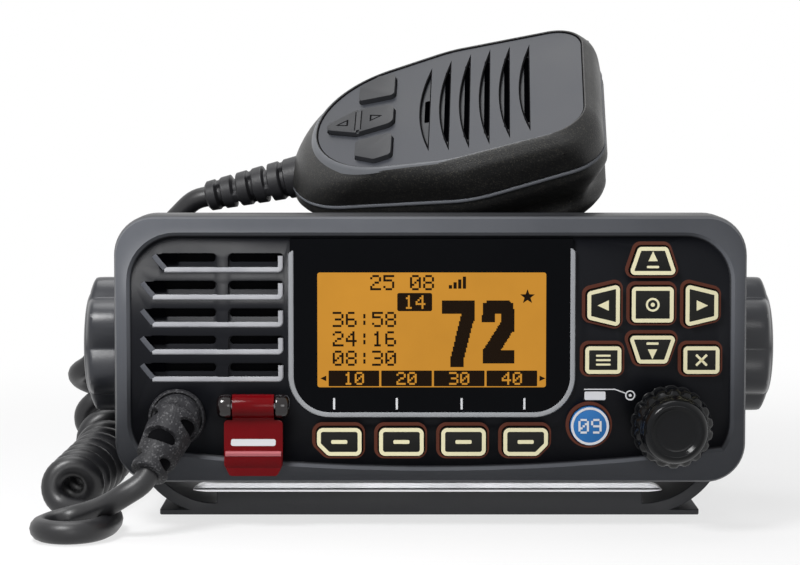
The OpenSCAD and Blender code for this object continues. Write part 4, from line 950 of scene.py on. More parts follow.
@dataclass
class CurlyCord:
    """The cord from the front unit, over the surface and up behind the knob, to the microphone.

    Both ends are given as a point and the direction in which the cord leaves it. The joins are numbers of points,
    of the tail and of the helix, that the curves between them run through.
    """

    boot: tuple[np.ndarray, np.ndarray]
    relief: tuple[np.ndarray, np.ndarray]
    boot_run: float = 3.0
    relief_run: float = 4.0
    diameter: float = 5.6
    pitch: float = 8.6
    coil_steps: int = 40
    steps_per_turn: int = 20
    radii: Pair = (5.2, 6.6)
    end_radius: float = 0.35
    start_angle: float = -0.6
    bend_reach: int = 30
    step: float = 1.2
    ease: float = 2.0
    tail_steps: int = 6
    join_steps: int = 8
    tail_join: tuple[int, int] = (-8, -4)
    front_join: tuple[int, int] = (8, 12)
    rear_join: tuple[int, int] = (-21, -17)
    tail: Sequence[Triple] = (
        (-73, -69.5, 11.5), (-77.5, -68.5, 8.5), (-82.5, -65, 6), (-88, -63.5, 4.3), (-92.6, -66, 3.3),
        (-94.4, -71, 3), (-92.6, -76.5, 3), (-87.6, -79.3, 3), (-82.4, -77.2, 3), (-79.4, -71.6, 3),
        (-78.4, -64, 3), (-78.6, -56, 3), (-80.2, -49.6, 3))
    coil: Sequence[Triple] = (
        (-91, -46, 8.4), (-90, -32, 8.8), (-89, -16, 9.2), (-88, 0, 9.6), (-88, 14, 10.4), (-89, 27, 14),
        (-91, 34.6, 22), (-92, 36.6, 31), (-90.6, 36, 40))
    mic_end: Sequence[Triple] = (
        (-88.6, 35.2, 47), (-85, 34, 54), (-80.4, 32, 61.4), (-75, 30, 68), (-69.6, 28.2, 73.4))

    @staticmethod
    def untwisted(tangent: np.ndarray) -> np.ndarray:
        """Finds sideways directions that don't twist: each is the one before it, made square to the tangent.

        Args:
            tangent: the line's direction at each point.

        Returns:
            The directions, of length one.
        """
        side = np.zeros_like(tangent)
        side[0] = np.cross(tangent[0], (0, 0, 1))
        for i, along in enumerate(tangent):
            v = side[max(i - 1, 0)]
            v = v - (v @ along) * along
            side[i] = v / np.linalg.norm(v)
        return side

    def helix(self) -> np.ndarray:
        """Winds the helix about the coil's curve.

        The curve carries two sideways directions without twist, and the helix circles in their plane. Its turns lie
        wider apart where the curve bends, and its radius eases in and out over half a turn.

        Returns:
            The points.
        """
        curve = smooth_curve(self.coil, self.coil_steps)
        along = run_lengths(curve)
        tangent = unit(np.gradient(curve, along, axis=0))
        bend = np.linalg.norm(np.gradient(tangent, along, axis=0), axis=1)
        window = 2 * self.bend_reach + 1
        bend = np.convolve(np.pad(bend, self.bend_reach, "edge"), np.ones(window) / window, "valid")
        wide = np.interp(along, along[[0, -1]], self.radii)
        turns = np.r_[0, np.cumsum(np.diff(along) * np.clip(1 - wide * bend, 0.5, 1)[1:] / self.pitch)]
        count = int(turns[-1] * self.steps_per_turn) + 1
        turned = np.linspace(0, turns[-1], count)
        s = np.interp(turned, turns, along)
        centre = points_at(s, along, curve)
        tangent = unit(np.gradient(centre, axis=0))
        side = self.untwisted(tangent)
        angle = (self.start_angle + 2 * np.pi * turned)[:, None]
        ease = line_ends(count, self.steps_per_turn / 2)
        radius = np.interp(s, along, wide) * (self.end_radius + (1 - self.end_radius) * ease * (2 - ease))
        return centre + radius[:, None] * (np.cos(angle) * side + np.sin(angle) * np.cross(tangent, side))

    def eased(self, line: np.ndarray) -> np.ndarray:
        """Smooths a line: in equal steps, each point the Gaussian mean of its neighbours.

        Both ends are first carried on by their own mirror image, so that they keep their place and direction.

        Args:
            line: the points.

        Returns:
            The smoothed points.
        """
        s = run_lengths(line)
        points = points_at(np.linspace(0, s[-1], int(s[-1] / self.step) + 1), s, line)
        reach = int(3 * self.ease / self.step) + 1
        longer = np.vstack([2 * points[0] - points[reach:0:-1], points, 2 * points[-1] - points[-2:-reach - 2:-1]])
        weight = np.exp(-0.5 * (np.arange(-reach, reach + 1) * self.step / self.ease) ** 2)
        return np.stack([np.convolve(longer[:, k], weight / weight.sum(), "valid") for k in range(3)], 1)

    def route(self) -> np.ndarray:
        """Joins tail, helix and end. Each joint is the middle of a curve through two points of either side.

        Returns:
            The whole centre line in millimetres.
        """
        (out, out_dir), (back, back_dir) = self.boot, self.relief
        steps, low, front, rear = self.join_steps, list(self.tail_join), list(self.front_join), list(self.rear_join)
        tail = smooth_curve([out, out + self.boot_run * out_dir, *self.tail], self.tail_steps)
        helix = self.helix()
        end = smooth_curve([*helix[rear], *self.mic_end, back + self.relief_run * back_dir, back], steps)
        joint = smooth_curve([*tail[low], *helix[front]], steps)
        return self.eased(np.vstack([tail[:low[1]], joint[steps:2 * steps + 1], helix[front[0] + 1:rear[1]],
                                     end[steps:]]))

    def make(self) -> bpy.types.Object:
        """Returns:
            The new object.
        """
        points = self.route() * MM
        curve = bpy.data.curves.new("curly_cord", "CURVE")
        curve.dimensions = "3D"
        curve.bevel_depth = self.diameter / 2 * MM
        curve.bevel_resolution = 5
        curve.use_fill_caps = True
        line = curve.splines.new("POLY")
        line.points.add(len(points) - 1)
        line.points.foreach_set("co", np.column_stack([points, np.ones(len(points))]).ravel())
        line.use_smooth = True
        obj = bpy.data.objects.new("curly_cord", curve)
        bpy.context.scene.collection.objects.link(obj)
        curve.materials.append(Look.CORD.value.material())
        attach(obj, "radio")
        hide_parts("cord_tail", "cord_coil", "cord_mic_end")
        return obj


# ---------------------------------------------------------------- the front unit

@dataclass
class Keypad:
    """The keys of the front unit: rings, symbols and the glow of their backlight."""

    ring_w: float = 1.05
    round_ring_w: float = 0.7
    lift: float = 0.04
    # painted shade: the glow round each key is shifted up and left, so less of it shows on the lower right, which
    # lies in shade
    glow_shift: Pair = (-0.2, 0.22)
    softkey_x: Sequence[float] = (-22.525, -7.175, 8.175, 23.525)
    softkey_z: float = -22.8
    half_w: float = 5.6
    half_h: float = 3.55
    corner: float = 1.2
    softkey_corner: float = 1.6
    round_r: float = 4.8

    def outlines(self) -> dict[str, tuple[Pair, Outline]]:
        """Lists the keys.

        Returns:
            Each key's centre and its outline as a function of a margin.
        """
        def soft(points: Sequence[Pair], r: float = self.corner) -> Outline:
            """Returns the outline with round corners about the points."""
            return lambda grow: soft_corners(points, r, grow)

        def softkey(low_left: float, low_right: float) -> Outline:
            """Returns a wide key, its two lower corners cut by these amounts."""
            w, h, a, b = self.half_w - self.softkey_corner, self.half_h - self.softkey_corner, low_left, low_right
            return soft([(a - w, -h), (w - b, -h), (w, b - h), (w, h), (-w, h), (-w, a - h)], self.softkey_corner)

        def plain(w: float, h: float) -> Outline:
            """Returns a rectangular key."""
            x, y = w / 2 - self.corner, h / 2 - self.corner
            return soft([(-x, -y), (x, -y), (x, y), (-x, y)])

        def tall(flip: int) -> Outline:
            """Returns the key above the middle one at 1, the key below it at -1."""
            w, h = self.half_w - self.corner, (self.half_h - self.corner) * flip
            return soft([(-w, -h), (w, -h), (w - 1.6, h), (1.6 - w, h)])

        def wide(flip: int) -> Outline:
            """Returns the key left of the middle one at 1, the key right of it at -1."""
            w, h = (4.1 - self.corner) * flip, 5.1 - self.corner
            return soft([(-w, 1.4 - h), (w, -h), (w, h), (-w, h - 1.4)])

        cuts = ((1.8, 0), (0, 0), (0, 0), (0, 1.8))
        keys = {f"softkey_{i + 1}": ((x, self.softkey_z), softkey(*cut))
                for i, (x, cut) in enumerate(zip(self.softkey_x, cuts))}
        return keys | {
            "key_up": ((54.7, 22.0), tall(1)), "key_down": ((54.7, 0.1), tall(-1)),
            "key_left": ((42.6, 11.0), wide(1)), "key_right": ((66.8, 11.0), wide(-1)),
            "key_enter": ((54.7, 11.2), plain(10.5, 9)), "key_menu": ((42.6, -2.5), plain(9.1, 7)),
            "key_clear": ((66.8, -2.5), plain(9.1, 7)),
            "key_round": ((39.4, -18.9), lambda grow: wrapped([(0, 0, self.round_r)], grow, 64))}

    @staticmethod
    def triangle_outline(size: float, heading: float) -> np.ndarray:
        """Returns the corners of a triangle that points along the heading in degrees."""
        a = np.radians(heading + np.array([0, 130, 230]))
        return size * np.stack([np.cos(a), np.sin(a)], 1)

    @classmethod
    def triangle(cls, size: float, heading: float, at: Pair = (0, 0)) -> Part:
        """Returns a flat triangle that points along the heading in degrees."""
        return moved(slab(cls.triangle_outline(size, heading), 0, FLAT), (*at, 0))

    @classmethod
    def target(cls, r: float, hollow: float) -> list[Part]:
        """Returns a flat ring with a dot in it; hollow is the share of the radius that the ring leaves free."""
        ring = wrapped([(0, 0, r)], 0, 32)
        return [band(ring, ring * hollow, 0, FLAT), slab(ring * 0.3, 0, FLAT)]

    def symbols(self) -> dict[str, list[Part]]:
        """Draws the keys' plain symbols, each about its key's own centre.

        Returns:
            The parts of each key's symbol.
        """
        def bar(w: float, h: float, z: float = 0) -> Part:
            """Returns a flat bar at the height z."""
            return slab(box_outline(w, h, h * 0.35, (0, z), 24), 0, FLAT)

        cross = bar(3.8, 0.6)
        return {f"softkey_{i + 1}": [bar(4.0, 0.95)] for i in range(len(self.softkey_x))} | {
            "key_up": [self.triangle(1.5, 90, (0, 0.9)), bar(3.0, 0.6, -1.5)],
            "key_down": [self.triangle(1.5, 270, (0, -0.9)), bar(3.0, 0.6, 1.5)],
            "key_left": [self.triangle(1.7, 180, (0.2, 0))], "key_right": [self.triangle(1.7, 0, (-0.2, 0))],
            "key_enter": self.target(1.7, 0.7), "key_menu": [bar(3.6, 0.5, z) for z in (-1.1, 0, 1.1)],
            "key_clear": [(cross[0] @ turn(2, a), cross[1]) for a in (45, -45)],
            "key_round": [PixelText.flat("09", (0, 0), 0.52)]}

    def make(self) -> None:
        """Makes the rings, symbols and glows of all keys, and dresses the keys."""
        outlines, symbols = self.outlines(), self.symbols()
        for key, (at, outline) in outlines.items():
            top = (*at, KEY_TOP + self.lift)
            ink, width = (Look.WHITE, self.round_ring_w) if key == "key_round" else (Look.CREAM, self.ring_w)
            build(f"{key}_ring", moved(band(outline(-0.1), outline(-width), -0.04, 0.02), top), ink, key)
            build(f"{key}_symbol", moved(joined(symbols[key]), top, (1, 1, 0.5)), ink, key, smooth=False)
            glow = band(outline(0.95) + np.array(self.glow_shift), outline(0.32), -0.02, 0.03)
            build(f"{key}_glow", moved(glow, (*at, FLOOR_OUT)), Look.HALO, "radio")
        dress(Look.KEY, *(key for key in outlines if key != "key_round"))
        dress(Look.BLUE, "key_round")
        soften(0.2, *outlines)


class PixelText:
    """Plain numerals made of small square cells, as on a dot display."""

    ROWS: ClassVar[dict[str, str]] = {
        "0": "01110 10001 10011 10101 11001 10001 01110", "1": "00100 01100 00100 00100 00100 00100 01110",
        "2": "01110 10001 00001 00110 01000 10000 11111", "3": "11110 00001 00001 01110 00001 00001 11110",
        "4": "00010 00110 01010 10010 11111 00010 00010", "5": "11111 10000 11110 00001 00001 10001 01110",
        "6": "01110 10000 10000 11110 10001 10001 01110", "7": "11111 00001 00010 00100 01000 01000 01000",
        "8": "01110 10001 10001 01110 10001 10001 01110", "9": "01110 10001 10001 01111 00001 00001 01110",
        ":": "00000 00100 00100 00000 00100 00100 00000"}

    @classmethod
    def cells(cls, text: str, at: Pair, pitch: float) -> np.ndarray:
        """Lists the lit cells of a text.

        Args:
            text: its numerals.
            at: its middle.
            pitch: the distance between cells.

        Returns:
            The centres of the cells, an array of n by 2.
        """
        rows = np.array([[list(map(int, row)) for row in cls.ROWS[c].split()] for c in text])
        char, down, across = np.nonzero(rows)
        x = (char * 6 + across - (6 * len(text) - 2) / 2) * pitch
        return np.stack([x + at[0], (3 - down) * pitch + at[1]], 1)

    @classmethod
    def flat(cls, text: str, at: Pair, pitch: float) -> Part:
        """Returns the text as thin blocks that touch each other."""
        return bars(cls.cells(text, at, pitch), (pitch, pitch), 0, FLAT)


@dataclass
class Display:
    """The display: the lens edge, painted light as a highlight, the lit window, its picture and the ticks below it.
    """

    PICTURE: ClassVar[Pair] = (0.03, 0.05)
    LABELS: ClassVar[Pair] = (0.05, 0.07)
    STROKES: ClassVar[dict[str, Sequence[Pair]]] = {
        "7": ((0.08, 0.93), (0.92, 0.93), (0.92, 0.8), (0.42, 0.0)),
        "2": ((0.08, 0.78), (0.12, 0.9), (0.28, 0.94), (0.72, 0.94), (0.88, 0.9), (0.92, 0.78), (0.92, 0.62),
              (0.1, 0.1), (0.1, 0.06), (0.95, 0.06))}

    lens_w: float = 68.3
    lens_h: float = 42.6
    lens_r: float = 9.0
    lens_at: Pair = (0.35, 5.75)
    window_at: Pair = (0.3, 4.9)
    window_w: float = 56.4
    window_h: float = 28.4
    pitch: float = 0.54
    digit_size: Pair = (8.8, 17.4)
    digit_pitch: float = 0.3
    digit_weight: float = 1.6
    footer_z: float = -12.0
    tick_x: Sequence[float] = (-24.0, -8.5, 7.5, 23.0)
    texts: Sequence[tuple[str, Pair]] = (("25", (-12.2, 11.7)), ("08", (-2.4, 11.7)), ("36:58", (-16.6, 2.6)),
                                         ("24:16", (-16.6, -2.2)), ("08:30", (-16.6, -7.0)))

    def edge(self) -> None:
        """Makes the light grey strip round the sides and the foot of the lens, a painted highlight on the recess wall
        there.

        It follows the outline from the upper left corner round the foot to the upper right one, and falls from the
        lens towards the recess.
        """
        w, h, r = self.lens_w / 2, self.lens_h / 2, self.lens_r
        arc = np.radians(np.linspace(0, 90, 17))
        left = np.stack([-w + r - r * np.cos(arc), -h + r - r * np.sin(arc)], 1)
        right = np.stack([w - r + r * np.sin(arc), -h + r - r * np.cos(arc)], 1)
        path = np.vstack([[-w, h - 2.6], [-w, h - 3.4], [-w, 0], left, right, [w, 0], [w, h - 2.8], [w, h - 2.0]])
        outward = unit(np.gradient(path, axis=0)) @ np.array([[0, -1], [1, 0]])
        taper = np.maximum(line_ends(len(path), 1.0), 0.35)[:, None]
        profile = [(0.0, LENS_OUT + 0.02), (0.25, LENS_OUT + 0.14), (1.1, LENS_OUT + 0.06), (1.35, FLOOR_OUT),
                   (0.0, FLOOR_OUT)]
        build("lens_edge_highlight", moved(carried(path, outward * taper, profile), (*self.lens_at, 0)), Look.LENS_EDGE_HIGHLIGHT, "radio")

    def picture(self) -> None:
        """Makes the lit window and its dark picture of plain numerals."""
        at = (*self.window_at, LENS_OUT)
        window = slab(box_outline(self.window_w, self.window_h, 0.6), -0.02, 0.03)
        build("display_light", moved(window, at), Look.AMBER, "radio")
        p = self.pitch
        cells = np.vstack([PixelText.cells(text, where, p) for text, where in self.texts])
        parts = [bars(cells, (p, p), *self.PICTURE), self.big_digit("7", (6.6, -0.5)),
                 self.big_digit("2", (16.4, -0.5)), self.star((23.6, 8.2), 1.9), self.signal((4.6, 11.7)),
                 slab(box_outline(8.6, 4.5, 0.5, (-4.2, 6.9)), *self.PICTURE)]
        labels = [PixelText.cells("14", (-4.2, 6.9), 0.48)]
        for x, digits in zip((-19.2, -6.2, 6.8, 19.8), ("10", "20", "30", "40")):
            parts.append(slab(box_outline(12.5, 3.9, 0.2, (x, self.footer_z)), *self.PICTURE))
            labels.append(PixelText.cells(digits, (x, self.footer_z), 0.45))
        for x, heading in ((-26.6, 180), (27.2, 0)):
            parts.append(moved(Keypad.triangle(0.9, heading), (x, self.footer_z, 0.03), (1, 1, 0.2)))
        build("display_picture", moved(joined(parts), at), Look.INK, "radio", smooth=False)
        labels = bars(np.vstack(labels), (0.46, 0.46), *self.LABELS)
        build("display_labels", moved(labels, at), Look.AMBER, "radio", smooth=False)

    def big_digit(self, digit: str, at: Pair) -> Part:
        """Draws a bold numeral: the cells whose centres lie close to its strokes.

        Args:
            digit: the numeral.
            at: its centre.

        Returns:
            The part.
        """
        size, pitch, weight = np.array(self.digit_size), self.digit_pitch, self.digit_weight
        strokes = np.array(self.STROKES[digit]) * (size - 2 * weight) + weight - size / 2
        x, y = np.meshgrid(*(np.arange(-s / 2, s / 2, pitch) for s in size))
        cells = np.stack([x.ravel(), y.ravel()], 1) + pitch / 2
        a, d = strokes[:-1], np.diff(strokes, axis=0)
        t = np.clip(((cells[:, None] - a) * d).sum(2) / (d * d).sum(1), 0, 1)
        away = np.abs(cells[:, None] - (a + t[..., None] * d)).max(2).min(1)
        return bars(cells[away < weight] + np.array(at), (pitch, pitch), *self.PICTURE)

    def star(self, at: Pair, size: float) -> Part:
        """Draws a five-pointed star.

        Args:
            at: its middle.
            size: the distance from there to its points.

        Returns:
            The part.
        """
        a = np.radians(90 + 36 * np.arange(10))
        r = size * np.where(np.arange(10) % 2 == 0, 1, 0.42)
        return slab(np.stack([r * np.cos(a), r * np.sin(a)], 1) + np.array(at), *self.PICTURE)

    def signal(self, at: Pair) -> Part:
        """Returns four rising bars."""
        return joined([slab(box_outline(0.8, h, 0.1, (at[0] + i * 1.15, at[1] - 1.5 + h / 2)), *self.PICTURE)
                       for i, h in enumerate((0.9, 1.6, 2.3, 3.0))])

    def make(self) -> None:
        """Makes all pieces of the display."""
        self.edge()
        self.picture()
        ticks = bars(np.array([(x, -13.4) for x in self.tick_x]), (0.5, 2.8), -0.01, 0.03)
        build("display_ticks", moved(ticks, (0.2, 0, LENS_OUT)), Look.WHITE, "radio", smooth=False)
        dress(Look.LENS, "display_lens")
        dress(Look.AMBER, "lcd_module")
        soften(0.0, "display_lens")


@dataclass
class Dial:
    """The dial: a skirt with finger flutes, a polished shoulder and a dished front."""

    at: Pair = (59.3, -18.6)
    r: float = 9.7
    foot: float = 0.9
    rise: float = 14.0
    flutes: int = 18
    flute_depth: float = 0.5
    steps: int = 192
    mark_line: Sequence[Pair] = ((38.0, -9.9), (45.6, -9.9), (48.3, -10.9))
    mark_half_w: float = 0.13

    def make(self) -> None:
        """Makes the dial from a profile turned about its axis, its radius cut by the flutes on the skirt.

        The radius is profile(s) - depth(s) * (0.5 + 0.5 cos(flutes * angle)) ** 3.
        """
        r, top = self.r, self.rise
        profile = np.array([(0.2, self.foot), (r - 0.5, self.foot), (r, self.foot + 0.5), (r, top - 7.2),
                            (r - 0.1, top - 6.0), (r - 0.9, top - 4.9), (r - 1.4, top - 4.2), (r - 1.7, top - 2.2),
                            (r - 2.1, top - 1.2), (r - 2.7, top - 0.4), (r - 3.2, top - 0.05), (r - 3.6, top),
                            (r - 4.0, top - 0.3), (r - 4.6, top - 0.75), (r - 5.4, top - 0.9), (0.2, top - 1.0)])
        radius, height = np.hsplit(smooth_curve(profile, 4), 2)
        cut = self.flute_depth * np.clip((top - 4.6 - height) / 1.2, 0, 1) * (radius > 1)
        angle = np.linspace(0, 2 * np.pi, self.steps, endpoint=False)
        wave = (0.5 + 0.5 * np.cos(self.flutes * angle)) ** 3
        cap = loft(revolved(radius - cut * wave, height, self.steps))
        dial = build("dial_cap", moved(cap, (*self.at, 0)), Look.DIAL, "dial")
        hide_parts("dial_knob")
        dress(Look.STEEL, "dial_shaft")
        dress(Look.DIAL, "dial_plunger")
        dress(Look.DARK_METAL, "dial_encoder")
        self.scale_mark()

    def scale_mark(self) -> None:
        """Makes the printed line, ring and dot beside the dial, and the plain block below the line."""
        parts = [moved(part, (49.4, -11.4, 0)) for part in Keypad.target(1.25, 0.74)]
        line = np.array(self.mark_line)
        for a, b, d in zip(line[:-1], line[1:], unit(np.diff(line, axis=0))):
            n = np.array([-d[1], d[0]]) * self.mark_half_w
            parts.append(slab(np.array([a - n, b - n, b + n, a + n]), 0, FLAT))
        parts.append(slab(box_outline(5.2, 2.1, 0.35, (40.7, -11.5)), 0, FLAT))
        build("dial_mark", moved(joined(parts), (0, 0, FLOOR_OUT), (1, 1, 0.4)), Look.WHITE, "radio", smooth=False)


@dataclass
class Grille:
    """The speaker slots: for each a lower edge painted light as a highlight, a slanted end painted as a dimmer
    highlight, and a black patch painted as the shade of the slot beside it.
    """

    top_z: float = 22.6
    pitch: float = 6.78
    left: Sequence[float] = (-68.0, -70.9, -71.0, -71.1, -71.1)
    right: float = -36.4
    low: float = -3.5
    corner: float = 1.3
    slot_h: float = 2.0
    wide: Sequence[Pair] = ((-0.05, 0.02), (0.2, 0.22), (0.8, 0.2), (1.2, 0.03), (1.25, -0.7), (-0.05, -0.7))
    narrow: Sequence[Pair] = ((-0.65, -0.3), (-0.6, 0.1), (0.0, 0.2), (0.65, 0.06), (0.7, -0.3))

    @staticmethod
    def strip(name: str, path: np.ndarray, profile: Sequence[Pair], look: Look) -> None:
        """Makes a bevelled strip whose profile is carried along the path, inwards of it."""
        inward = unit(np.gradient(path, axis=0)) @ np.array([[0, 1], [-1, 0]])
        build(name, moved(carried(path, inward, profile), (0, 0, FLOOR_OUT)), look, "radio")

    def make(self) -> None:
        """Makes for each row the slanted end, painted a dimmer highlight, the black patch painted as the shade of the
        slot beside it, and the foot, painted as a highlight, that turns up at the right.
        """
        arc = np.radians(np.linspace(-90, 0, 9))
        half, r = self.slot_h / 2, self.corner
        for i, left in enumerate(self.left):
            z = self.top_z - i * self.pitch
            foot = z + self.low
            slant = np.array([(left - 0.2, z + 0.7), (left + 0.9, z - 0.7), (left + 2.5, z - 2.6)])
            self.strip(f"grille_slant_highlight_{i + 1}", smooth_curve(slant, 3), self.narrow, Look.GRILLE_SLANT_HIGHLIGHT)
            patch = np.array([(left + 1.5, z - half), (left + 5.5, z - half), (left + 5.5, z + half),
                              (left + 0.15, z + half)])
            # a black patch, painted as the shade inside the slot
            build(f"grille_slot_shade_{i + 1}", slab(patch, FLOOR_OUT - 0.6, FLOOR_OUT + 0.02), Look.SLOT_SHADE, "radio",
                  smooth=False)
            bend = np.stack([self.right - r + r * np.cos(arc), foot + r + r * np.sin(arc)], 1)
            path = np.vstack([[left + 2.4, foot], [left + 12, foot], bend, [self.right, foot + 2.5],
                              [self.right, z + 0.55]])
            self.strip(f"grille_edge_highlight_{i + 1}", path, self.wide, Look.GRILLE_HIGHLIGHT)


@dataclass
class FlipCover:
    """The red cover over the emergency key, with its hinge."""

    x: float = -43.6
    hinge_z: float = -13.7
    hinge_out: float = 1.75
    width: float = 14.4
    face_out: float = 2.6
    barrel_r: float = 2.95
    lug_w: float = 3.6
    hinge_w: float = 18.0
    sunk: float = 0.02

    def lug(self, side: int) -> Part:
        """Makes one end of the hinge: a barrel with a round nose, turned about the hinge, with a foot.

        Args:
            side: -1 for the left, 1 for the right.

        Returns:
            The part.
        """
        r, w = self.barrel_r, self.lug_w
        along, radius = np.hsplit(smooth_curve([
            (0.0, 0.0), (0.0, r - 0.5), (0.12, r - 0.12), (0.5, r), (w - 1.5, r), (w - 0.7, r - 0.25),
            (w - 0.2, r - 0.9), (w, r - 1.7), (w, 0.02)], 3), 2)
        start = self.x + side * (self.hinge_w / 2 - w)
        barrel = revolved(np.maximum(radius, 0.02), start + side * along, 48)[..., [2, 0, 1]]
        foot = box_outline(w - 0.7, 2 * r - 0.9, 0.5, (start + side * (w - 0.7) / 2, self.hinge_z), 24)
        return joined([moved(loft(barrel), (0, self.hinge_z, self.hinge_out)), slab(foot, FLOOR_OUT, self.hinge_out)])

    def make(self) -> None:
        """Makes the hinge ends, the ridge, painted pale as a highlight, the lip and the plain mark on the cover, and
        dresses the hinge.
        """
        for side, name in ((-1, "left"), (1, "right")):
            lug = build(f"hinge_{name}_end", self.lug(side), Look.SMOKED, "radio", angle=50)
            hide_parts("distress_hinge_lugs")
        rows = np.linspace(-self.width / 2 + 0.35, self.width / 2 - 0.35, 9)
        surface = self.face_out - self.sunk
        for name, low, section, look in (
                ("flip_cover_ridge_highlight", 11.0, [(0, 0.0), (-0.15, 0.75), (-0.5, 0.95), (-1.2, 0.85), (-1.3, 0.0)],
                 Look.RIDGE_HIGHLIGHT),
                ("flip_cover_lip", 12.3, [(0, 0.0), (0, 0.85), (-0.9, 0.7), (-2.5, 0.3), (-2.9, 0.0)],
                 Look.RED_CLEAR)):
            rings = np.stack(np.broadcast_arrays(rows[:, None], *np.array(section).T), 2)
            build(name, moved(loft(rings), (self.x, self.hinge_z - low, surface)), look, "distress_cover")
        mark = box_outline(11.0, 1.7, 0.5, (self.x, self.hinge_z - 8.9))
        build("flip_cover_mark", slab(mark, surface, self.face_out + 0.04), Look.WHITE, "distress_cover")
        dress(Look.RED_CLEAR, "distress_cover")
        dress(Look.STEEL, "distress_hinge_pin")
        dress(Look.RED_KEY, "distress_key")
        soften(0.35, "distress_cover", segments=3)
        soften(0.2, "distress_key")


@dataclass
class Gland:
    """The rubber gland that the cord leaves the front unit by, with its bending boot."""

    at: Pair = (-62.7, -16.9)
    collar_h: float = 3.0
    collar_r: float = 7.0
    length: float = 17.0
    drop: float = 46.0
    swing: float = -30.5
    r0: float = 6.5
    r1: float = 4.6
    slot_rings: float = 3.1
    slot_depth: float = 1.9
    slot_middle: float = 0.6
    slot_half_h: float = 0.33
    slot_half_w: float = 1.05
    slot_turn: float = 0.35
    slots_from: float = 0.08
    slots_to: float = 0.93

    def axes(self) -> tuple[np.ndarray, np.ndarray]:
        """Returns the boot's foot in the frame and the matrix whose columns are its axes, in millimetres."""
        turned = turn(0, 90) @ turn(1, self.swing) @ turn(0, self.drop)
        return np.array([self.at[0], FACE_Y - FLOOR_OUT - self.collar_h, FACE_Z + self.at[1]]), turned

    def end(self) -> tuple[np.ndarray, np.ndarray]:
        """Returns the middle of the boot's end and its direction."""
        foot, turned = self.axes()
        return foot + self.length * turned[:, 2], turned[:, 2]

    def boot(self) -> bpy.types.Object:
        """Makes the boot, a tapered sleeve with staggered slots that let it bend, and the core seen through them.

        The radius is taper(s) less the slot's depth where both the ring and the angle fall in a slot. From one ring
        to the next the slots turn by a quarter. Heights of slots are shares of a ring, their widths are radians.

        Returns:
            The sleeve.
        """
        foot, turned = self.axes()
        steps = 128
        s, around = np.linspace(0, 1, 150)[:, None], np.linspace(0, 2 * np.pi, steps, endpoint=False)
        taper = self.r0 + (self.r1 - self.r0) * s
        which, phase = np.floor(s * self.slot_rings), s * self.slot_rings
        ring = (phase - which - self.slot_middle) / self.slot_half_h
        aside = np.arccos(np.abs(np.cos(around + which * np.pi / 2 + self.slot_turn))) / self.slot_half_w
        slots = np.clip(3 * (1 - ring**2 - aside**2), 0, 1) * (s > self.slots_from) * (s < self.slots_to)
        start, finish = (np.clip(share, 0, 1) ** 0.5 for share in (s / 0.06, (1 - s) / 0.03))
        radius = taper * (0.72 + 0.28 * start) * (0.9 + 0.1 * finish) - self.slot_depth * slots
        sleeve = revolved(radius, -1.0 + s * (self.length + 1.0), steps)
        core = revolved(taper - 0.62 * self.slot_depth, 0.5 + s * (self.length - 1.0), steps)
        boot = build("cord_boot", loft(sleeve @ turned.T + foot), Look.BOOT, "radio", WORLD, angle=40)
        build("cord_boot_core", loft(core @ turned.T + foot), Look.CLOTH_AND_SHADE, "radio", WORLD)
        return boot

    def make(self) -> None:
        """Makes the boot and the collar that it stands on."""
        boot = self.boot()
        r = self.collar_r
        radius, height = np.hsplit(smooth_curve([
            (0.1, -3.0), (5.45, -3.0), (5.5, 0.0), (r, 0.0), (r, 1.0), (r - 0.3, 1.5), (r - 0.65, 1.55),
            (r - 0.8, 1.15), (r - 0.95, 1.15), (r - 1.05, 2.5), (r - 1.4, 3.2), (r - 2.3, 3.9), (0.1, 4.4)], 3), 2)
        rings = revolved(np.maximum(radius, 0.05), height, 72)
        collar = build("cord_collar", moved(loft(rings), (*self.at, FLOOR_OUT)), Look.BOOT, "radio", angle=35)
        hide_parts("cord_gland")
        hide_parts("cord_gland")


@dataclass
class FrontUnit:
    """The front unit with all that sits on it."""

    keypad: Keypad = field(default_factory=Keypad)
    display: Display = field(default_factory=Display)
    dial: Dial = field(default_factory=Dial)
    cover: FlipCover = field(default_factory=FlipCover)
    gland: Gland = field(default_factory=Gland)
    grille: Grille = field(default_factory=Grille)
    back_size: Triple = (152.2, 62.2, 7.8)
    case_size: Triple = (138.0, 57.8, 12.0)
    back_out: float = -14.7

    def back(self) -> None:
        """Makes the wall that closes the unit's back round the case, and the lip of the seal against the case."""
        width, height, corner = self.case_size
        for name, outer, inner, low, high, look in (
                ("front_unit_back", self.back_size, (width - 1, height - 1, corner - 0.5), 0.0, 0.9, Look.PANEL),
                ("front_unit_lip", (width + 2.6, height + 2.6, corner + 1.3), (width, height, corner), -0.6, 0.1,
                 Look.RUBBER)):
            ring = band(box_outline(*outer, steps=96), box_outline(*inner, steps=96), low, high)
            build(name, moved(ring, (0, 0, self.back_out)), look, "radio", angle=40)

    def make(self) -> None:
        """Dresses the panel and makes its pieces."""
        self.back()
        dress(Look.PANEL, "front_panel")
        soften(0.25, "front_panel")
        dress(Look.CLOTH_AND_SHADE, "speaker_cloth")
        dress(Look.DARK_METAL, "speaker")
        dress(Look.MAT, "keypad_mat")
        dress(Look.BOARD, "front_board")
        dress(Look.RUBBER, "front_gasket")
        for part in (self.keypad, self.display, self.dial, self.cover, self.gland, self.grille):
            part.make()


# ---------------------------------------------------------------- case, bracket and clamps

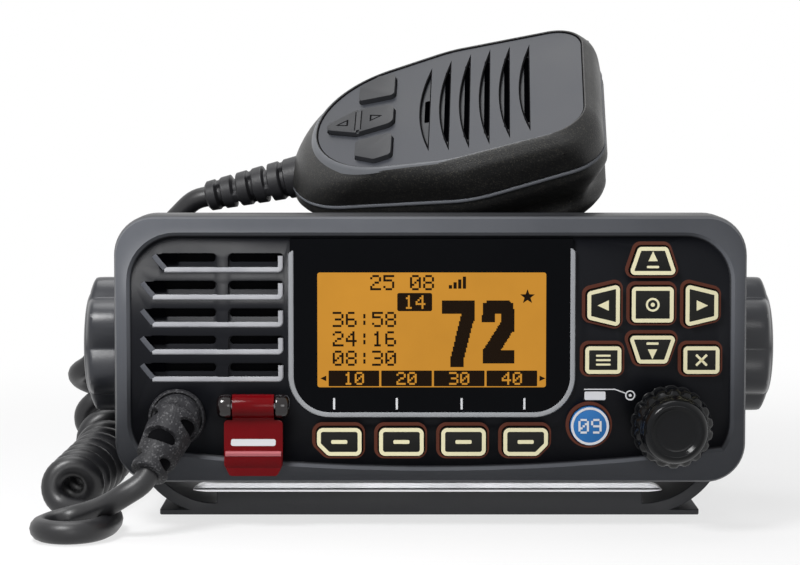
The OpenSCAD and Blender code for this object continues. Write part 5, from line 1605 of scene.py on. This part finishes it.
@dataclass
class ClampKnob:
    """A clamp knob: six lobes and a dished cap."""

    side: int
    inner: float = 78.2
    thickness: float = 12.5
    lobes: int = 6
    lobe_rise: float = 3.0
    steps: int = 288

    def make(self) -> None:
        """Makes the knob as a profile whose radius swells at each lobe.

        The radius is core(s) + swell(s) * (0.5 + 0.5 cos(lobes * angle)) ** 0.6.
        """
        radius, height = np.hsplit(smooth_curve([
            (2.0, 0.0), (14.0, 0.0), (14.6, 0.6), (14.8, 2.0), (14.8, 9.5), (14.2, 11.2), (13.0, 12.1),
            (11.0, 12.5), (9.6, 12.4), (9.0, 11.8), (8.6, 11.6), (0.2, 11.5)], 5), 2)
        height = np.clip(height, 0, self.thickness)
        s = height / self.thickness
        swell = self.lobe_rise * np.clip(np.minimum(s - 0.06, 0.93 - s) / 0.12, 0, 1) ** 0.5 * (radius > 12)
        angle = np.linspace(0, 2 * np.pi, self.steps, endpoint=False)
        lobe = (0.5 + 0.5 * np.cos(self.lobes * angle)) ** 0.6
        rings = revolved(radius + swell * lobe, self.side * (self.inner + height), self.steps)[..., [2, 1, 0]]
        name = "left" if self.side < 0 else "right"
        knob = build(f"{name}_clamp_knob", moved(loft(rings), (0, 0, AXIS_Z)), Look.KNOB, f"{name}_clamp", WORLD,
                     angle=40)
        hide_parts(f"{name}_knob")
        dress(Look.STEEL, f"{name}_knob_stud", f"{name}_knob_washer")
        soften(0.15, f"{name}_knob_washer")


@dataclass
class Chassis:
    """The case, the bracket and their fastenings."""

    knobs: tuple[ClampKnob, ClampKnob] = (ClampKnob(-1), ClampKnob(1))
    base_half_d: float = 32.5
    base_t: float = 6.4
    strip_x: Pair = (-60.5, 59.5)
    strip_step: float = 2.5
    strip_rise: float = 1.35
    strip_face: float = 0.5
    strip_gap: float = 0.06

    def strip(self) -> None:
        """Makes the near-white strip along the front of the base, a painted highlight: a narrow face, a ledge and a
        riser behind it.

        Seen from the front the face and the riser read as one strip, and both ends are slanted.
        """
        y0, z0 = -self.base_half_d - self.strip_gap, self.base_t + self.strip_gap
        low, high = self.strip_x
        rows = np.array([low, low + 1.2, low + 3.4, high - 3.4, high - 1.2, high])[:, None]
        rise = np.array([0.0, 0.55, 1.0, 1.0, 0.55, 0.0])[:, None]
        back = y0 + self.strip_step
        y, z = np.array([(y0, -self.strip_face), (y0, 0.0), (y0 + 0.1, 0.06), (back, 0.12),
                         (back + 0.12, self.strip_rise), (back + 4.2, self.strip_rise), (back + 4.4, -0.3),
                         (y0 + 0.6, -0.3), (y0 + 0.6, -self.strip_face)]).T
        rings = np.stack(np.broadcast_arrays(rows, y, z0 + z * rise), 2)
        build("bracket_highlight_strip", loft(rings), Look.STRIP_HIGHLIGHT, "bracket", WORLD)

    def make(self) -> None:
        """Dresses the solids and makes the strip and the knobs."""
        self.strip()
        dress(Look.BRACKET, "mounting_bracket")
        soften(0.4, "mounting_bracket", segments=3)
        dress(Look.CASE, "case_body")
        soften(0.3, "case_body")
        dress(Look.RUBBER, "arm_pads", "cable_grommet")
        dress(Look.BRASS, "knob_inserts", "gps_socket")
        dress(Look.NICKEL, "antenna_socket")
        dress(Look.STEEL, "board_screws", "case_screws")
        dress(Look.BOARD, "main_board")
        soften(0.2, "cable_grommet", "antenna_socket", "gps_socket")
        soften(0.0, "arm_pads", "case_screws")
        for knob in self.knobs:
            knob.make()


# ---------------------------------------------------------------- microphone

@dataclass
class Microphone:
    """The hand microphone: two shells about a seam, a face plate with slots, keys and a talk bar."""

    plate_circles: Sequence[Triple] = ((-20.5, 0, 24.2), (-6, 0, 27), (18.7, 15.5, 10), (18.7, -15.5, 10))
    seam_circles: Sequence[Triple] = ((-34.5, 0, 21), (-2, 0, 29.8), (21.5, 17, 10), (21.5, -17, 10))
    sole_circles: Sequence[Triple] = ((-27, 0, 8), (-10, 0, 14), (14, 9, 9), (14, -9, 9))
    front_t: float = 12.0
    seam_t: float = 0.6
    rear_t: float = 22.4
    relief_x0: float = -53.0
    relief_len: float = 27.0
    relief_neck: float = 7.0
    relief_rings: int = 5
    groove_at: float = 0.72
    groove_half: float = 0.2
    groove_depth: float = 1.5
    key_top: float = 0.9
    plate_top: float = -0.4
    slot_len: Sequence[float] = (42, 45.6, 47.8, 48.4, 46.6, 44)
    slot_pitch: float = 5.5
    slot_shift: float = 0.6
    crescent_w: float = 3.1
    rocker_x: float = -33.0

    @property
    def seam_z(self) -> float:
        """Returns the height of the seam's middle."""
        return -self.front_t - self.seam_t / 2

    def between(self, share: float) -> np.ndarray:
        """Returns circles between those of the plate, at 0, and those of the seam, at 1."""
        return (1 - share) * np.array(self.plate_circles) + share * np.array(self.seam_circles)

    @staticmethod
    def rings(levels: Sequence[tuple[float, Sequence[Triple], float]], fill: int, steps: int = 144) -> np.ndarray:
        """Returns smooth rings through levels of (height, circles, margin), with fill steps between two levels."""
        keys = np.array([raised(wrapped(circles, margin, steps), z) for z, circles, margin in levels])
        return smooth_curve(keys.reshape(len(levels), -1), fill).reshape(-1, steps, 3)

    def shells(self) -> None:
        """Makes both shells, each lofted through outlines that wrap round circles."""
        plate, seam, sole = self.plate_circles, self.seam_circles, self.sole_circles
        low = -self.front_t
        lip = self.rings([(-2.6, plate, -1.5), (-2.0, plate, 0.14), (-0.5, plate, 0.16), (-0.05, plate, 0.3),
                          (0.0, plate, 0.55), (-0.15, plate, 0.85), (-0.9, plate, 1.45)], fill=3)
        blend = [(z, self.between(share), g) for z, share, g in (
            (-3.2, 0.28, 2.0), (-6.0, 0.56, 1.7), (-9.0, 0.83, 0.8), (low + 0.5, 1.0, 0.1))]
        side = self.rings([(-0.9, plate, 1.45), *blend], fill=5)[1:]
        foot = self.rings([(low, seam, -0.35), (low, seam, -6)], fill=1)
        top = low - self.seam_t
        end = top - self.rear_t
        low_rings = self.rings([
            (top, seam, -6), (top, seam, -0.35), (top - 0.4, seam, 0.0), (top - 3.4, seam, -0.2),
            (top - 7.0, self.between(0.5), -1.6), (top - 11.5, plate, -4.0), (top - 16.0, sole, 5.2),
            (top - 19.6, sole, 1.6), (end + 0.9, [(-12, 0, 8), (14, 0, 14)], -1.2),
            (end + 0.05, [(-2, 0, 7), (14, 0, 12)], -2.4), (end, [(0, 0, 5), (13, 0, 9)], -4)], fill=4)
        front = build("mic_upper_shell", loft(np.vstack([lip, side, foot])), Look.MIC_BODY, "microphone", MIC,
                      angle=45)
        rear = build("mic_lower_shell", loft(low_rings), Look.MIC_BODY, "microphone", MIC, angle=50)
        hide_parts("mic_front_shell")
        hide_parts("mic_rear_shell")

    def relief(self) -> tuple[np.ndarray, np.ndarray]:
        """Makes the ribbed strain relief: a taper with grooves that are deeper at the sides than along two lines.

        Returns:
            Its end and direction in millimetres.
        """
        steps, neck = 96, self.relief_neck
        length = self.relief_len + neck
        x, around = length * np.linspace(0, 1, 170)[:, None], np.linspace(0, 2 * np.pi, steps, endpoint=False)
        phase = np.clip((x - neck - 1.5) / (self.relief_len - 4), 0, 0.999) * self.relief_rings
        groove = np.clip(1 - np.abs(phase % 1 - self.groove_at) / self.groove_half, 0, 1)
        window = np.clip((np.abs(np.cos(around + np.floor(phase) * np.pi / 2)) - 0.25) / 0.15, 0.25, 1)
        depth = self.groove_depth * np.clip(groove * 2, 0, 1) * window * (x > neck + 2) * (x < length - 2)
        base = np.interp(x, [0, neck - 0.6, neck, neck + 1.4, length - 0.6, length], [6.3, 6.3, 5.7, 5.6, 4.1, 3.4])
        rings = revolved(base - depth, self.relief_x0 + neck - x, steps)[..., [2, 0, 1]]
        relief = build("mic_cord_relief", moved(loft(rings), (0, 0, self.seam_z)), Look.RUBBER, "microphone", MIC,
                       angle=40)
        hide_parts("mic_strain_relief")
        end = MIC.world(np.array([self.relief_x0 - self.relief_len, 0, self.seam_z])) / MM
        return end, -np.array(MIC.across)

    @staticmethod
    def beside(circles: Sequence[Triple], angles: np.ndarray, profile: Callable[[float], list]) -> Part:
        """Makes a strip that follows a wrapped outline.

        Args:
            circles: the circles that the outline wraps.
            angles: the directions, in degrees, from the strip's start to its end.
            profile: gives the section as (margin, height) pairs for a share of 0 to 1 of the way along.

        Returns:
            The closed strip.
        """
        a = np.radians(angles)
        section = np.array([profile(t) for t in np.linspace(0, 1, len(a))])
        flat = reached(circles, np.stack([np.cos(a), np.sin(a)], 1), section[..., 0])
        return loft(np.concatenate([flat, section[..., 1:]], 2))

    def lines(self) -> None:
        """Makes the crescent at the cord's end, a painted highlight, the painted shade in the groove round the plate
        and the seam's light line.
        """
        def crescent(t: float) -> list[Pair]:
            """Works out the section, whose width is 2.2 sin(pi t) and a little more.

            Args:
                t: the share of the way along.

            Returns:
                The section as (margin, height) pairs.
            """
            w = 2.2 * np.sin(np.pi * t) + 0.03
            return [(0.5 + a * w, b - c * w) for a, b, c in (
                (0, 0.03, 0), (0.2, 0.06, 0.04), (0.5, 0.1, 0.33), (1, -0.05, 0.95), (0.6, -0.5, 1), (0, -0.7, 0))]

        z = self.seam_z
        seam = [(-0.5, z + 0.5), (0.1, z + 0.45), (0.28, z), (0.1, z - 0.45), (-0.5, z - 0.5)]
        rim_highlight = self.beside(self.plate_circles, np.linspace(100, 284, 64), crescent)
        build("mic_rim_highlight_crescent", rim_highlight, Look.MIC_RIM_HIGHLIGHT, "microphone", MIC, angle=50)
        # painted shade: a black band in the groove round the plate
        groove = band(*(wrapped(self.plate_circles, g, 144) for g in (0.46, -0.12)), -0.9, 0.02, -0.37)
        build("mic_plate_groove_shade", groove, Look.CLOTH_AND_SHADE, "microphone", MIC)
        seam_line = self.beside(self.seam_circles, np.linspace(-172, 38, 120), lambda t: seam)
        build("mic_seam_line", seam_line, Look.SEAL, "microphone", MIC, angle=50)

    def slots(self) -> None:
        """Makes the painted shadow along the edge of each crescent, and the black slit on its floor, painted as the
        shade of the opening.

        The crescent's left side is the parabola x = width * (t * t - 1), with t from end to end.
        """
        t = np.linspace(-1, 1, 33)
        bow = self.crescent_w * (t * t - 1)
        inner_bow = np.minimum(bow + 0.32, -0.05 - 0.27 * (1 - t**16))
        edges, slits = [], []
        for i, length in enumerate(self.slot_len):
            x, half = (i - (len(self.slot_len) - 1) / 2) * self.slot_pitch + self.slot_shift, length / 2
            outer, inner = (np.vstack([np.stack([x + curved, t * reach], 1),
                                       np.stack([np.full(len(t), x + straight), -t * reach], 1)[1:-1]])
                            for curved, straight, reach in ((bow, 0, half), (inner_bow, -0.27, half - 0.9)))
            # painted shadow: a dark band round the crescent's edge
            edges.append(band(outer, inner, self.plate_top - 0.5, self.plate_top + 0.02))
            slit = half - (16 if i == 0 else 6)
            slits.append(slab(box_outline(1.5, 2 * slit + 0.6, 0.5, (x - 1.05, 0), 24), self.plate_top - 1.2,
                              self.plate_top - 0.72))
        for name, parts, look in (("mic_slot_edge_shadows", edges, Look.CLOTH_AND_SHADE), ("mic_slot_slits", slits, Look.SLOT_SHADE)):
            build(name, joined(parts), look, "microphone", MIC, smooth=False)

    def marks(self) -> None:
        """Makes the triangles and the two divider lines of the rocker, and the strip between them."""
        outline = Keypad.triangle_outline
        parts = [moved(band(outline(2.1, heading), outline(1.4, heading), 0.8, self.key_top + 0.06), (x, 0, 0))
                 for x, heading in ((-37.2, 180), (-28.4, 0))]
        parts += [slab(box_outline(0.3, 9.4, 0.1, (self.rocker_x + x, 0), 12), 0.6, self.key_top + 0.05)
                  for x in (-0.8, 0.8)]
        bar = slab(box_outline(1.4, 9.4, 0.1, (self.rocker_x, 0), 12), 0.5, self.key_top + 0.01)
        build("mic_rocker_marks", joined(parts), Look.CLOTH_AND_SHADE, "mic_rocker", MIC, smooth=False)
        build("mic_rocker_bar", bar, Look.MIC_KEY, "mic_rocker", MIC, smooth=False)

    def make(self) -> tuple[np.ndarray, np.ndarray]:
        """Makes and dresses the microphone.

        Returns:
            Where the cord meets it and the direction in which the cord leaves.
        """
        self.shells()
        self.lines()
        self.slots()
        self.marks()
        dress(Look.MIC_FACE, "mic_face_plate")
        dress(Look.MIC_KEY, "mic_key_power", "mic_key_channel", "mic_rocker")
        dress(Look.RUBBER, "mic_talk_bar")
        dress(Look.SEAL, "mic_seam_gasket")
        dress(Look.BOARD, "mic_board")
        dress(Look.DARK_METAL, "mic_speaker")
        dress(Look.STEEL, "mic_hanger_button")
        soften(0.0, "mic_face_plate")
        soften(0.35, "mic_key_power", "mic_key_channel", "mic_rocker", "mic_talk_bar", segments=3)
        soften(0.0, "mic_seam_gasket", "mic_hanger_button")
        return self.relief()


# ---------------------------------------------------------------- studio

@dataclass(frozen=True)
class Lamp:
    """A square area lamp at a place, turned to a point, in metres and watts."""

    name: str
    at: Triple
    aim: Triple
    size: float
    power: float

    def make(self) -> None:
        """Makes the lamp."""
        data = bpy.data.lights.new(self.name, "AREA")
        data.size, data.energy = self.size, self.power
        obj = bpy.data.objects.new(self.name, data)
        obj.location = self.at
        obj.rotation_mode = "QUATERNION"
        obj.rotation_quaternion = (Vector(self.aim) - Vector(self.at)).to_track_quat("-Z", "Y")
        bpy.context.scene.collection.objects.link(obj)


@dataclass
class Studio:
    """The camera at the photograph's angle, soft lights, a pale floor and a white surround; sizes in metres."""

    camera_at: Triple = (-0.00752, -0.70226, 0.10645)
    tilt: float = 86.0
    lens: float = 118.7
    sensor: float = 36.0
    clip_start: float = 0.05
    surround: float = 0.25
    floor_r: float = 4.0
    floor_color: tuple[float, float, float, float] = (0.86, 0.86, 0.87, 1)
    floor_rough: float = 0.7
    fade_from: float = 0.08
    fade_to: float = 0.4
    fade_least: float = 0.72
    lamps: Sequence[Lamp] = (Lamp("key_light", (-0.17, -0.24, 0.30), (-0.02, -0.04, 0.05), 0.12, 1.35),
                             Lamp("front_light", (0.1, -0.95, 0.22), (0, 0, 0.03), 0.3, 1.05),
                             Lamp("top_light", (-0.1, 0.2, 0.7), (0, 0, 0.05), 0.4, 1.6))

    def camera(self) -> None:
        """Makes the camera."""
        data = bpy.data.cameras.new("camera")
        data.lens, data.sensor_width, data.clip_start = self.lens, self.sensor, self.clip_start
        obj = bpy.data.objects.new("camera", data)
        obj.location = self.camera_at
        obj.rotation_euler = (np.radians(self.tilt), 0, 0)
        bpy.context.scene.collection.objects.link(obj)
        bpy.context.scene.camera = obj

    def world(self) -> None:
        """Makes the surround: white where the camera or a gloss sees it, softer as light."""
        world = bpy.data.worlds.new("surround")
        world.use_nodes = True
        tree = world.node_tree
        back = tree.nodes["Background"]
        set_inputs(back, {"Color": (1, 1, 1, 1)})
        path = add_node(tree, "ShaderNodeLightPath")
        either, seen = (add_node(tree, "ShaderNodeMath", operation="MAXIMUM") for _ in range(2))
        level = add_node(tree, "ShaderNodeMapRange", {"To Min": self.surround, "To Max": 1.0})
        link(tree, (path, "Is Camera Ray", either, 0), (path, "Is Transmission Ray", either, 1),
             (either, "Value", seen, 0), (path, "Is Glossy Ray", seen, 1), (seen, "Value", level, "Value"),
             (level, "Result", back, "Strength"))
        bpy.context.scene.world = world

    def floor(self) -> None:
        """Makes the pale floor, which fades to the white surround with distance."""
        corners = wrapped([(0, 0, self.floor_r)])
        mesh = bpy.data.meshes.new("floor")
        mesh.from_pydata(raised(corners, 0).tolist(), [], [list(range(len(corners)))])
        obj = bpy.data.objects.new("floor", mesh)
        bpy.context.scene.collection.objects.link(obj)
        material = bpy.data.materials.new("floor_pale")
        material.use_nodes = True
        tree = material.node_tree
        shader, out = tree.nodes["Principled BSDF"], tree.nodes["Material Output"]
        set_inputs(shader, {"Base Color": self.floor_color, "Roughness": self.floor_rough})
        glow, mix, path, place = (add_node(tree, f"ShaderNode{kind}") for kind in (
            "Emission", "MixShader", "LightPath", "TexCoord"))
        seen = add_node(tree, "ShaderNodeMath", operation="MAXIMUM")
        strength = add_node(tree, "ShaderNodeMapRange", {"To Min": self.surround})
        length = add_node(tree, "ShaderNodeVectorMath", operation="LENGTH")
        fade = add_node(tree, "ShaderNodeMapRange", {
            "From Min": self.fade_from, "From Max": self.fade_to, "To Min": self.fade_least},
            interpolation_type="SMOOTHSTEP")
        link(tree, (place, "Object", length, 0), (length, "Value", fade, "Value"), (fade, "Result", mix, "Fac"),
             (path, "Is Camera Ray", seen, 0), (path, "Is Glossy Ray", seen, 1), (seen, "Value", strength, "Value"),
             (strength, "Result", glow, "Strength"), (shader, "BSDF", mix, 1), (glow, "Emission", mix, 2),
             (mix, "Shader", out, "Surface"))
        mesh.materials.append(material)

    def make(self) -> None:
        """Makes the whole stage."""
        bpy.context.scene.view_settings.view_transform = "Standard"
        self.camera()
        self.world()
        self.floor()
        for lamp in self.lamps:
            lamp.make()


def main() -> None:
    """Builds the stage, the cord and then each sub-assembly."""
    logging.basicConfig(level=logging.INFO, format="%(name)s: %(message)s")
    Studio().make()
    unit = FrontUnit()
    CurlyCord(unit.gland.end(), Microphone().make()).make()
    unit.make()
    Chassis().make()
    bpy.context.view_layer.update()


if __name__ == "__main__":
    main()
